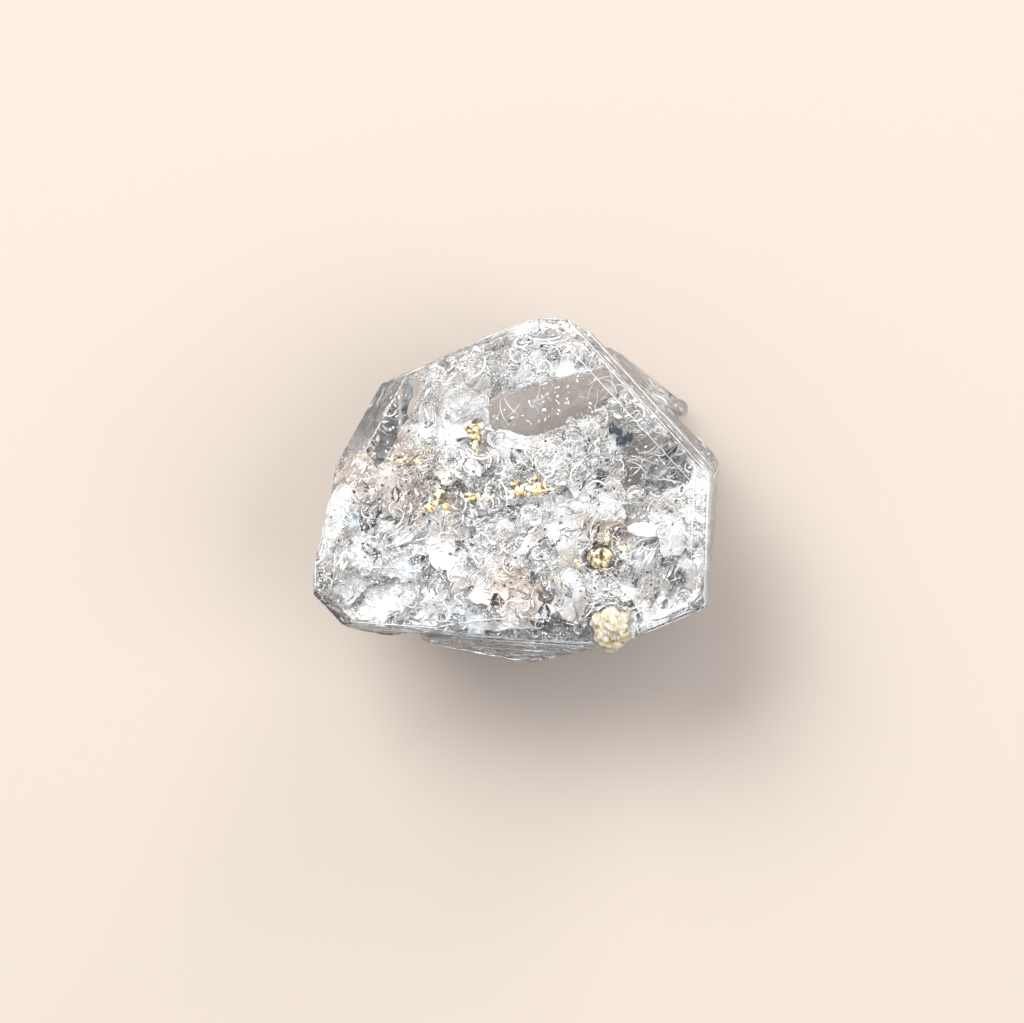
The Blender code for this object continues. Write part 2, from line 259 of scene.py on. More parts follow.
@dataclass(frozen=True)
class PhotoView:
    """The direction from which the crystal is looked at, and the picture's scale.

    right, up and back are the camera's own directions, growth_centre is the point of the crystal that
    stands at picture point centre_px, and refraction is the tangent of the angle that a line of sight
    makes with the vertical once it has passed the flat upper face. clip is in metres.
    """

    right: tuple[float, float, float] = (0.9844, 0.0, -0.1760)
    up: tuple[float, float, float] = (0.0364, 0.9784, 0.2034)
    back: tuple[float, float, float] = (0.1722, -0.2066, 0.9632)
    growth_centre: tuple[float, float, float] = (-0.563, 0.866, 5.17)
    centre_px: tuple[float, float] = (516.0, 487.0)
    frame_px: tuple[float, float] = (1024.0, 1023.0)
    px_per_mm: float = 16.6
    distance: float = 600.0
    sensor: float = 36.0
    refraction: float = 0.176
    clip: tuple[float, float] = (0.01, 10.0)

    def add_camera(self) -> None:
        """Makes the scene's camera: its picture plane passes through the growth centre."""
        right, up, back = (np.array(way) for way in (self.right, self.up, self.back))
        off_x = (0.5 * self.frame_px[0] - self.centre_px[0]) / self.px_per_mm
        off_y = (self.centre_px[1] - 0.5 * self.frame_px[1]) / self.px_per_mm
        target = np.array(self.growth_centre) + right * off_x + up * off_y
        data = bpy.data.cameras.new("camera")
        data.sensor_width = self.sensor
        data.lens = self.sensor * self.distance * self.px_per_mm / self.frame_px[0]
        data.clip_start, data.clip_end = self.clip
        camera = linked("camera", data)
        turn = Matrix([right, up, back]).transposed().to_4x4()
        turn.translation = Vector((target + back * self.distance) * MM)
        camera.matrix_world = turn
        bpy.context.scene.camera = camera

    def sideways(self) -> np.ndarray:
        """How far a line of sight shifts in x and y for each mm below the upper face."""
        return unit(np.array(self.back[:2])) * self.refraction

    def seen_at(self, points: np.ndarray, top: float) -> np.ndarray:
        """Where on the upper face the camera sees points that lie below it: x and y in mm."""
        return points[:, :2] + (top - points[:, 2])[:, None] * self.sideways()

    def sunk_from(self, seen: np.ndarray, sunk: np.ndarray, top: float) -> np.ndarray:
        """The points that lie sunk mm below the upper face and are seen at the given places on it."""
        return np.column_stack([seen - sunk[:, None] * self.sideways(), top - sunk])


@dataclass(frozen=True)
class Stretch:
    """A stretch of the crystal with a look of its own: its outline as it is seen on the upper face."""

    outline: tuple[Place, ...]
    openness: float = 1.0

    def holds(self, places: np.ndarray) -> np.ndarray:
        """Which places lie inside the outline, by counting the edges that a line to the right crosses."""
        inside = np.zeros(len(places), dtype=bool)
        count = len(self.outline)
        for index in range(count):
            (x0, y0), (x1, y1) = self.outline[index], self.outline[(index + 1) % count]
            crosses = (y0 > places[:, 1]) != (y1 > places[:, 1])
            run = (x1 - x0) / (y1 - y0 if y1 != y0 else 1e-9)
            inside ^= crosses & (places[:, 0] < x0 + (places[:, 1] - y0) * run)
        return inside


# Stretches without veils, stretches of a warmer colour and cloudy ones
CLEAR_WINDOWS = (
    # Above the middle
    Stretch(((-1.3, 5.3), (6.1, 7.0), (7.2, 5.6), (4.7, 3.9), (1.4, 2.7), (-1.1, 3.4))),
    # A strip at the left, and the bevel beside it
    Stretch(((-7.3, 7.2), (-5.2, 7.0), (-5.7, 5.0), (-7.1, 2.5), (-8.0, 1.1), (-8.9, 2.3), (-8.2, 4.6))),
    Stretch(((-11.2, 1.4), (-9.0, 1.9), (-7.1, 7.0), (-8.9, 7.8), (-10.4, 4.2)), 0.95),
    # At the right
    Stretch(((7.6, 2.8), (9.0, 2.9), (10.0, 2.2), (11.2, 0.4), (11.0, -0.3), (9.0, -1.1), (7.8, -1.0),
             (6.6, -0.2)), 0.80),
    # Small, at the top
    Stretch(((-1.7, 8.8), (0.1, 8.7), (-0.2, 7.4), (-1.4, 7.5)), 0.9),
    # On the lower ledge
    Stretch(((-4.6, -9.4), (0.0, -9.7), (5.2, -9.6), (4.6, -11.2), (0.4, -12.4), (-3.9, -11.2)), 0.85),
)
# Small clear spots round single grains, and spots where threads and curls lie thick: middle and reach
CLEARINGS: tuple[tuple[Place, float], ...] = (
    ((6.6, 3.0), 0.55), ((7.1, 2.2), 0.60), ((9.7, 1.7), 0.65), ((5.5, 0.2), 0.40),
    ((-2.2, 3.4), 0.35), ((-2.1, 2.7), 0.40), ((-4.4, -0.6), 0.38), ((-4.9, -1.4), 0.30),
    ((-2.1, -0.8), 0.35), ((0.5, -0.5), 0.40), ((1.8, -0.3), 0.38), ((-6.4, 1.7), 0.35),
    ((10.1, -6.1), 0.45), ((9.4, -5.2), 0.30),
)
BUSY_SPOTS: tuple[tuple[Place, float], ...] = (
    ((4.2, 1.6), 3.2), ((0.2, -1.6), 2.6), ((2.4, 8.2), 2.6), ((-0.9, 8.4), 1.8), ((9.8, -0.8), 2.2),
    ((8.4, 4.2), 2.0), ((6.0, -5.4), 1.3), ((-1.5, -4.6), 1.8), ((-4.5, 1.2), 1.6),
)
WARM_ZONES = (
    # Round the grain, at the left of the middle, and below the middle
    Stretch(((3.9, -3.6), (5.0, -2.2), (6.8, -2.4), (7.4, -4.2), (6.6, -6.0), (4.4, -5.9))),
    Stretch(((-9.5, 2.6), (-4.5, 2.9), (-2.5, 0.2), (-5.0, -1.6), (-9.8, -1.2))),
    Stretch(((-1.5, -5.2), (3.2, -5.6), (3.4, -7.9), (-2.0, -7.6))),
)
WARM_TINT: Colour = (0.90, 0.79, 0.70)
MILKY_ZONES = (
    # At the upper left, at the top, and at the lower left
    Stretch(((-5.2, 6.6), (-1.9, 6.6), (-1.5, 4.3), (-5.3, 4.0))),
    Stretch(((-1.1, 7.6), (1.6, 7.9), (1.4, 5.9), (-1.0, 5.6))),
    Stretch(((-10.6, -4.6), (-5.6, -4.8), (-5.0, -7.6), (-9.4, -8.6), (-11.0, -7.0))),
)
MILKY_SPOTS: tuple[Place, ...] = (
    (-9.3, -5.6), (-7.6, -6.9), (-9.0, -3.6), (-6.3, -5.6), (-4.6, -7.2), (-9.9, -1.4), (-7.0, -3.6),
    (-3.6, -4.6), (-5.2, -2.4), (9.6, -3.4),
)


@dataclass
class CrystalForm:
    """The crystal's solid, asked where a point lies in it.

    wander is how far the windows' borders stray in mm, and clearings reach clearing_depth mm down.
    """

    node: bpy.types.Object
    view: PhotoView
    wander: float = 0.12
    clearing_share: float = 0.9
    clearing_depth: float = 2.0
    quiet: float = 0.12
    compass: int = 8
    tree: BVHTree = field(init=False)
    low: np.ndarray = field(init=False)
    high: np.ndarray = field(init=False)
    corners: np.ndarray = field(init=False)
    hull_normals: np.ndarray = field(init=False)
    hull_distances: np.ndarray = field(init=False)

    def __post_init__(self) -> None:
        """Reads the solid's corners and faces, and the flat faces of the convex shape around it."""
        points = corner_array(self.node.data)
        faces = np.array([tuple(face.vertices) for face in self.node.data.polygons])
        self.tree = BVHTree.FromPolygons(points.tolist(), faces.tolist())
        self.low, self.high = points.min(axis=0), points.max(axis=0)
        self.corners = points[faces]
        shell = bmesh.new()
        for point in np.unique(points.round(3), axis=0):
            shell.verts.new(point)
        bmesh.ops.convex_hull(shell, input=shell.verts[:])
        shell.normal_update()
        normals = np.array([tuple(face.normal) for face in shell.faces if face.calc_area() > 1e-3])
        shell.free()
        self.hull_normals = unit(np.unique(normals.round(3), axis=0))
        self.hull_distances = (points @ self.hull_normals.T).max(axis=0)

    def depth(self, points: np.ndarray) -> np.ndarray:
        """How far below the nearest face each point lies in mm, below zero outside the solid."""
        found = (self.hull_distances[None, :] - points @ self.hull_normals.T).min(axis=1)
        for index in np.flatnonzero(found > 0.0):
            place = Vector(points[index])
            near, normal, _, distance = self.tree.find_nearest(place)
            inward = (near - place).dot(normal) > 0.0
            found[index] = min(found[index], distance if inward else -distance)
        return found

    def encloses(self, points: np.ndarray, margin: float = 0.03) -> np.ndarray:
        """Which shapes, given as rows of corners, lie wholly inside the convex shape round the solid."""
        room = self.hull_distances - margin
        inside = (points.reshape(-1, 3) @ self.hull_normals.T < room).all(axis=1)
        return inside.reshape(points.shape[:2]).all(axis=1)

    def on_faces(self, count: int, draw: np.random.Generator) -> tuple[np.ndarray, np.ndarray]:
        """Places spread evenly over the solid's faces, and the outward direction at each."""
        first = self.corners[:, 1] - self.corners[:, 0]
        second = self.corners[:, 2] - self.corners[:, 0]
        normals = np.cross(first, second)
        areas = np.linalg.norm(normals, axis=1)
        which = draw.choice(len(areas), count, p=areas / areas.sum())
        share = np.sort(draw.uniform(0.0, 1.0, (count, 2)), axis=1)
        places = (self.corners[which, 0] + first[which] * share[:, :1]
                  + second[which] * (share[:, 1:] - share[:, :1]))
        return places, unit(normals[which])

    def openness(self, points: np.ndarray) -> np.ndarray:
        """How clear the crystal is kept at each point: 1 in the middle of a window, else 0."""
        places = self.strayed(points, self.wander, 1.3, 3)
        clear = np.zeros(len(points))
        for window in CLEAR_WINDOWS:
            clear = np.maximum(clear, window.openness * window.holds(places))
        for middle, reach in CLEARINGS:
            near = np.linalg.norm(places - np.array(middle), axis=1) < reach
            near &= points[:, 2] > self.high[2] - self.clearing_depth
            clear = np.maximum(clear, self.clearing_share * near)
        return clear

    def strayed(self, points: np.ndarray, stray: float, wavelength: float, seed: int) -> np.ndarray:
        """Where points are seen on the upper face, moved by up to some mm by two wave fields."""
        shift = np.stack([waves(points, wavelength, seed), waves(points, wavelength, seed + 1)], axis=1)
        return self.view.seen_at(points, self.high[2]) + stray * shift

    def milkiness(self, points: np.ndarray) -> np.ndarray:
        """1 in the milky zones and 0 elsewhere."""
        return self.within(MILKY_ZONES, points, 0.5)

    def softened(self, rule: Callable[[np.ndarray], np.ndarray], points: np.ndarray, reach: float
                 ) -> np.ndarray:
        """A rule's values with soft borders: their mean over two rings of places around each point."""
        total = rule(points)
        shares = (0.5, 1.0)
        for share in shares:
            for turn in range(self.compass):
                way = heading_lean(360.0 / self.compass * turn, 0.0)
                total = total + rule(points + share * reach * way)
        return total / (1.0 + len(shares) * self.compass)

    def closedness(self, points: np.ndarray) -> np.ndarray:
        """0 in the middle of a window and 1 far from all of them, with soft borders between."""
        return 1.0 - self.softened(self.openness, points, 0.6)

    def busyness(self, points: np.ndarray) -> np.ndarray:
        """How thickly threads and curls lie at each point: 1 in the middle of a busy spot, else less."""
        places = self.view.seen_at(points, self.high[2])
        found = np.full(len(points), self.quiet)
        for middle, reach in BUSY_SPOTS:
            away = np.linalg.norm(places - np.array(middle), axis=1) / reach
            found = np.maximum(found, np.exp(-away ** 2))
        return found

    def within(self, zones: tuple[Stretch, ...], points: np.ndarray, stray: float) -> np.ndarray:
        """1 where a point is seen inside one of the zones, whose edges stray by some mm, and 0 elsewhere."""
        places = self.strayed(points, stray, 2.2, 5)
        found = np.zeros(len(points), dtype=bool)
        for zone in zones:
            found |= zone.holds(places)
        return found.astype(float)


class Wiring:
    """A node tree, and the few ways in which its nodes are made and joined here."""

    def __init__(self, tree: bpy.types.NodeTree) -> None:
        """Takes the tree to wire."""
        self.tree = tree

    def node(self, kind: str, **values: object) -> bpy.types.Node:
        """Adds a node. A value is a setting of the node, or of an input where it is not one.

        Args:
            kind: The node's type, without the word ShaderNode.
            values: Settings and inputs, with _ for a space in an input's name.

        Returns:
            The new node.
        """
        made = self.tree.nodes.new("ShaderNode" + kind)
        for name, value in values.items():
            if hasattr(made, name):
                setattr(made, name, value)
            else:
                self.feed(made.inputs[name.replace("_", " ")], value)
        return made

    def feed(self, target: bpy.types.NodeSocket, value: object) -> None:
        """Joins a socket to an input, or sets the input to a number or a colour."""
        if isinstance(value, bpy.types.NodeSocket):
            self.tree.links.new(value, target)
        else:
            target.default_value = value

    def math(self, operation: str, *values: object) -> bpy.types.NodeSocket:
        """One arithmetic step on numbers or sockets."""
        made = self.tree.nodes.new("ShaderNodeMath")
        made.operation = operation
        for socket, value in zip(made.inputs, values):
            self.feed(socket, value)
        return made.outputs[0]

    def mix(self, share: object, first: object, second: object) -> bpy.types.NodeSocket:
        """A blend of two colours."""
        made = self.tree.nodes.new("ShaderNodeMix")
        made.data_type = "RGBA"
        self.feed(made.inputs["Factor"], share)
        for socket, value in zip((made.inputs[6], made.inputs[7]), (first, second)):
            self.feed(socket, (*value, 1.0) if isinstance(value, tuple) and len(value) == 3 else value)
        return made.outputs[2]

    def place(self) -> bpy.types.NodeSocket:
        """The place on the object, in mm."""
        coordinates = self.node("TexCoord")
        return self.node("VectorMath", operation="SCALE", Vector=coordinates.outputs["Object"],
                         Scale=1.0 / MM).outputs["Vector"]

    def noise(self, scale: object, detail: float = 2.0, distortion: object = 0.0) -> bpy.types.NodeSocket:
        """Noise with scale waves to the mm, where a scale or a distortion may be a socket."""
        return self.node("TexNoise", Vector=self.place(), Scale=scale, Detail=detail,
                         Distortion=distortion).outputs["Fac"]

    def ramp(self, value: object, low: float, high: float, start: float = 0.0, end: float = 1.0
             ) -> bpy.types.NodeSocket:
        """A smooth rise from start to end as a value goes from low to high."""
        made = self.node("MapRange", interpolation_type="SMOOTHSTEP")
        for name, setting in (("Value", value), ("From Min", low), ("From Max", high), ("To Min", start),
                              ("To Max", end)):
            self.feed(made.inputs[name], setting)
        return made.outputs["Result"]

    def stored(self, name: str, output: str = "Fac") -> bpy.types.NodeSocket:
        """A value or colour that is stored on the mesh."""
        return self.node("Attribute", attribute_name=name).outputs[output]


def new_material(name: str) -> tuple[bpy.types.Material, Wiring, bpy.types.Node]:
    """A material with its wiring and its Principled shader."""
    material = bpy.data.materials.new(name)
    material.use_nodes = True
    return material, Wiring(material.node_tree), material.node_tree.nodes["Principled BSDF"]


def let_lamps_through(
        material: bpy.types.Material, wiring: Wiring, shader: bpy.types.Node, share: float) -> None:
    """Makes clear glass cast only a faint shadow, as real glass does, on what is in it and under it."""
    passing = wiring.math("MULTIPLY", wiring.node("LightPath").outputs["Is Shadow Ray"], share)
    blend = wiring.node("MixShader", Fac=passing)
    wiring.feed(blend.inputs[1], shader.outputs["BSDF"])
    wiring.feed(blend.inputs[2], wiring.node("BsdfTransparent").outputs["BSDF"])
    wiring.feed(material.node_tree.nodes["Material Output"].inputs["Surface"], blend.outputs["Shader"])


def curl_group() -> bpy.types.NodeTree:
    """The node group of curled lines, which the crystal's skin uses once coarse and once fine.

    A curled line is where a smooth warped noise passes through its middle value, so the group puts out
    how near the noise is to that value, as a line of the given width, and the noise itself.

    Returns:
        The group, which is made once.
    """
    name = "curled_lines"
    if name in bpy.data.node_groups:
        return bpy.data.node_groups[name]
    tree = bpy.data.node_groups.new(name, "ShaderNodeTree")
    for label, value in (("Scale", 2.0), ("Width", 0.04), ("Warp", 1.0)):
        socket = tree.interface.new_socket(label, in_out="INPUT", socket_type="NodeSocketFloat")
        socket.default_value = value
    for label in ("Line", "Ground"):
        tree.interface.new_socket(label, in_out="OUTPUT", socket_type="NodeSocketFloat")
    wiring = Wiring(tree)
    given = tree.nodes.new("NodeGroupInput")
    out = tree.nodes.new("NodeGroupOutput")
    noise = wiring.noise(given.outputs["Scale"], 1.0, given.outputs["Warp"])
    away = wiring.math("ABSOLUTE", wiring.math("SUBTRACT", noise, 0.5))
    line = wiring.ramp(away, 0.0, given.outputs["Width"], 1.0, 0.0)
    tree.links.new(line, out.inputs["Line"])
    tree.links.new(noise, out.inputs["Ground"])
    return tree


def curled_lines(wiring: Wiring, scale: float, width: float, warp: float) -> bpy.types.Node:
    """Places the curled-line group in a material, with its own values."""
    made = wiring.tree.nodes.new("ShaderNodeGroup")
    made.node_tree = curl_group()
    for name, value in (("Scale", scale), ("Width", width), ("Warp", warp)):
        made.inputs[name].default_value = value
    return made


@dataclass(frozen=True)
class ClearQuartz:
    """Clear quartz: plain transmission, IOR and absorption, with etched curls where it is not a window.

    gloss is the roughness of a clean face, and haze what frost adds to it: at least and in patches.
    """

    colour: Colour = (0.992, 0.995, 1.0)
    ior: float = QUARTZ_IOR
    absorption: Colour = (0.80, 0.83, 0.86)
    density: float = 14.0
    curl_relief: float = 0.008
    line_relief: float = 0.002
    fine_curls: float = 0.5
    gloss: float = 0.015
    haze: tuple[float, float] = (0.06, 0.14)
    lamp_pass: float = 0.92

    def material(self) -> bpy.types.Material:
        """Builds the material. It reads the stored values etched and frosted."""
        material, wiring, shader = new_material("clear_quartz_skin")
        shader.inputs["Base Color"].default_value = (*self.colour, 1.0)
        shader.inputs["Transmission Weight"].default_value = 1.0
        shader.inputs["IOR"].default_value = self.ior
        etched = wiring.stored("etched")
        frosted = wiring.stored("frosted")
        coarse = curled_lines(wiring, 1.5, 0.10, 1.6)
        fine = curled_lines(wiring, 3.4, 0.09, 1.2)
        curls = wiring.math("MULTIPLY", etched, wiring.math(
            "ADD", coarse.outputs["Line"], wiring.math("MULTIPLY", fine.outputs["Line"], self.fine_curls)))
        ripple = wiring.math("MULTIPLY", wiring.noise(6.0, 3.0, 0.4), self.line_relief / self.curl_relief)
        height = wiring.math("ADD", curls, ripple)
        bump = wiring.node("Bump", Strength=1.0, Distance=self.curl_relief * MM, Height=height)
        wiring.feed(shader.inputs["Normal"], bump.outputs["Normal"])
        patches = wiring.ramp(wiring.noise(0.9, 3.0, 0.5), 0.42, 0.62)
        least, more = self.haze
        rough = wiring.math("MULTIPLY", frosted, wiring.math("MULTIPLY_ADD", patches, more, least))
        wiring.feed(shader.inputs["Roughness"], wiring.math("ADD", rough, self.gloss))
        volume = wiring.node("VolumeAbsorption", Density=self.density)
        volume.inputs["Color"].default_value = (*self.absorption, 1.0)
        output = material.node_tree.nodes["Material Output"]
        wiring.feed(output.inputs["Volume"], volume.outputs["Volume"])
        let_lamps_through(material, wiring, shader, self.lamp_pass)
        return material


@dataclass(frozen=True)
class FleckFinish:
    """The surface of small flakes and threads in the crystal, whose colour is stored on them.

    The rim's shade is painted shade: how bright a flake's rim is against its ridges, darker to stand in for
    the dark outline that refraction draws round a flake in clear quartz, and rim_band is where it turns to
    that. Crumbs store random rim values, so on them it only makes the tone uneven.
    """

    name: str
    roughness: float
    metallic: float = 0.0
    rim_painted_shade: float = 1.0
    sheen: float = 0.6
    rim_band: tuple[float, float] = (0.55, 0.9)

    def material(self) -> bpy.types.Material:
        """Builds the material: the stored tint, darker along a flake's rim as painted shade."""
        material, wiring, shader = new_material(self.name)
        tint = wiring.stored("tint", "Color")
        # Painted shade: a flake's rim is darkened to stand in for the dark outline that refraction draws
        # round it.
        shade = wiring.ramp(wiring.stored("rim"), *self.rim_band, 1.0, self.rim_painted_shade)
        shaded = wiring.node("VectorMath", operation="SCALE", Vector=tint, Scale=shade).outputs["Vector"]
        wiring.feed(shader.inputs["Base Color"], shaded)
        shader.inputs["Roughness"].default_value = self.roughness
        shader.inputs["Metallic"].default_value = self.metallic
        shader.inputs["Specular IOR Level"].default_value = self.sheen
        return material


@dataclass(frozen=True)
class HollowFinish:
    """The wall of a hollow in the crystal: light passes from quartz into air, so the index is turned over."""

    ior: float = 1.0 / QUARTZ_IOR
    lamp_pass: float = 0.85

    def material(self) -> bpy.types.Material:
        """Builds the material."""
        material, wiring, shader = new_material("hollow_wall")
        shader.inputs["Base Color"].default_value = (1.0, 1.0, 1.0, 1.0)
        shader.inputs["Transmission Weight"].default_value = 1.0
        shader.inputs["Roughness"].default_value = 0.0
        shader.inputs["IOR"].default_value = self.ior
        let_lamps_through(material, wiring, shader, self.lamp_pass)
        return material


@dataclass(frozen=True)
class CrumblyRock:
    """Sugary host rock or clay: two colours in grains, dark pores and a rough crumb.

    grain is how many grains there are to a mm. A core is the place of a dark narrow middle, which is
    core_stretch times as wide as it is long, and glow is how far light goes into the rock, in mm.
    """

    name: str
    light: Colour
    deep: Colour
    pore: Colour
    grain: float
    relief: float
    core: Place | None = None
    core_stretch: float = 0.4
    core_edge: tuple[float, float] = (0.10, 0.24)
    core_stray: float = 0.7
    pore_depth: float = 0.6
    glow: float = 0.4
    glow_share: float = 0.35
    glow_colour: Colour = (1.0, 0.85, 0.6)

    def around_core(self, wiring: Wiring, colour: bpy.types.NodeSocket) -> bpy.types.NodeSocket:
        """The colour with the dark core in it, whose border strays with noise."""
        flat = wiring.node("VectorMath", operation="MULTIPLY", Vector=wiring.place())
        flat.inputs[1].default_value = (1.0, self.core_stretch, 0.0)
        away = wiring.node("VectorMath", operation="DISTANCE", Vector=flat.outputs["Vector"])
        away.inputs[1].default_value = (self.core[0], self.core_stretch * self.core[1], 0.0)
        strayed = wiring.math("ADD", away.outputs["Value"], wiring.math(
            "MULTIPLY_ADD", wiring.noise(2.4, 2.0, 0.5), self.core_stray, -0.5 * self.core_stray))
        return wiring.mix(wiring.ramp(strayed, *self.core_edge), self.deep, colour)

    def material(self) -> bpy.types.Material:
        """Builds the material."""
        material, wiring, shader = new_material(self.name)
        cells = wiring.node("TexVoronoi", Vector=wiring.place(), Scale=self.grain)
        blend = wiring.ramp(wiring.noise(0.8 * self.grain, 3.0, 0.6), 0.35, 0.65)
        body = wiring.mix(blend, self.deep, self.light)
        pores = wiring.ramp(wiring.noise(2.2 * self.grain, 2.0, 0.3), 0.30, 0.40, 1.0, 0.0)
        colour = wiring.mix(pores, body, self.pore)
        if self.core is not None:
            colour = self.around_core(wiring, colour)
        wiring.feed(shader.inputs["Base Color"], colour)
        gloss = wiring.ramp(cells.outputs["Distance"], 0.1, 0.6, 0.35, 0.8)
        wiring.feed(shader.inputs["Roughness"], gloss)
        height = wiring.math("SUBTRACT", wiring.noise(3.0 * self.grain, 4.0),
                             wiring.math("MULTIPLY", pores, self.pore_depth))
        bump = wiring.node("Bump", Strength=0.9, Distance=self.relief * MM, Height=height)
        wiring.feed(shader.inputs["Normal"], bump.outputs["Normal"])
        shader.inputs["Subsurface Weight"].default_value = self.glow_share
        shader.inputs["Subsurface Radius"].default_value = self.glow_colour
        shader.inputs["Subsurface Scale"].default_value = self.glow * MM
        return material


@dataclass
class FineCrystal:
    """The crystal's outside: its own solid cut into small cells, with growth relief worked in.

    cell is the size of the cells and cell_start where the first cut lies, as a share of it. swell,
    terrace and groove are heights in mm, and the waves that shape them have lengths in mm. foot is the
    height over which the relief fades in above the resting face.
    """

    form: CrystalForm
    cell: float = 0.30
    cell_start: float = 0.137
    flat_angle: float = 0.4
    swell: float = 0.016
    swell_wave: float = 4.5
    terrace: float = 0.022
    terrace_wave: float = 5.5
    terraces: float = 2.6
    riser: float = 0.14
    groove: float = 0.020
    groove_wave: float = 1.7
    groove_width: float = 0.16
    window_swell: float = 0.25
    foot: tuple[float, float] = (0.05, 0.8)
    crease: float = 6.0

    def cells(self) -> bmesh.types.BMesh:
        """A copy of the solid, merged and cut by planes one cell apart along each axis."""
        block = merged_block(self.form.node.data)
        bmesh.ops.dissolve_limit(block, angle_limit=math.radians(self.flat_angle), verts=block.verts[:],
                                 edges=block.edges[:])
        for axis in range(3):
            normal = Vector([float(axis == other) for other in range(3)])
            low, high = self.form.low[axis], self.form.high[axis]
            for step in range(1, int((high - low) / self.cell)):
                place = normal * (low + (step + self.cell_start) * self.cell) * MM
                everything = block.verts[:] + block.edges[:] + block.faces[:]
                bmesh.ops.bisect_plane(block, geom=everything, plane_co=place, plane_no=normal,
                                       dist=CUT_TOLERANCE)
        return block

    def relief(self, points: np.ndarray, closed: np.ndarray, busy: np.ndarray) -> np.ndarray:
        """How far each point of the skin is raised, in mm.

        Broad swells, plus steps where a slow field passes whole numbers, minus narrow grooves where a
        faster field passes zero. It fades out at the resting face.

        Args:
            points: The skin's corners.
            closed: How far from a window each is, from 0 to 1.
            busy: How thickly curls lie there, from 0 to 1.

        Returns:
            A height for each corner.
        """
        swells = self.swell * waves(points, self.swell_wave, 11)
        level = self.terraces * waves(points, self.terrace_wave, 12)
        share = level - np.floor(level)
        steps = self.terrace * (np.floor(level) + smooth_step(1.0 - self.riser, 1.0, share) - level)
        lines = np.abs(waves(points, self.groove_wave, 13))
        grooves = self.groove * (1.0 - smooth_step(0.0, self.groove_width, lines))
        least = self.window_swell
        raised = swells * (least + (1.0 - least) * closed) + (steps - grooves * busy) * closed
        return raised * smooth_step(*self.foot, points[:, 2])

    def build(self, material: bpy.types.Material) -> bpy.types.Object:
        """Makes the finer crystal, which stands for its solid."""
        name = "quartz_crystal_skin"
        mesh = triangle_mesh(name, self.cells())
        points = corner_array(mesh)
        closed = self.form.closedness(points)
        milk = closed * self.form.softened(self.form.milkiness, points, 0.8)
        busy = self.form.busyness(points)
        store_value(mesh, "etched", closed * (0.2 + 0.8 * busy))
        store_value(mesh, "frosted", np.clip(milk + 0.4 * closed * (1.0 - busy), 0.0, 1.0))
        raise_corners(mesh, points, self.relief(points, closed, busy), self.crease)
        item = linked(name, mesh)
        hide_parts(CRYSTAL)
        return finish_piece(item, material)


@dataclass(frozen=True)
class Veil:
    """A healed fracture: a curved sheet on which flecks lie."""

    centre: tuple[float, float, float]
    normal: tuple[float, float, float]
    reach: float
    bulge: float


def healed_fractures(count: int, form: CrystalForm, seed: int) -> list[Veil]:
    """Veils through the crystal, centred well inside it and tilted every way.

    Args:
        count: How many veils there are.
        form: The crystal.
        seed: Fixes their places and tilts.

    Returns:
        The veils.
    """
    draw = np.random.default_rng(seed)
    centres = draw.uniform(form.low, form.high, size=(count * 8, 3))
    centres = centres[form.depth(centres) > 1.0][:count]
    normals = unit(draw.normal(size=(len(centres), 3)) + 0.5 * LEVEL_UP)
    reaches = draw.uniform(2.5, 7.0, len(centres))
    bulges = draw.uniform(-0.5, 0.5, len(centres))
    return [Veil(tuple(centre), tuple(normal), float(reach), float(bulge))
            for centre, normal, reach, bulge in zip(centres, normals, reaches, bulges)]


class Spread(Enum):
    """How flecks are spread through the crystal."""

    UNDER_FACES = "just under the faces"
    ON_VEILS = "on veils"


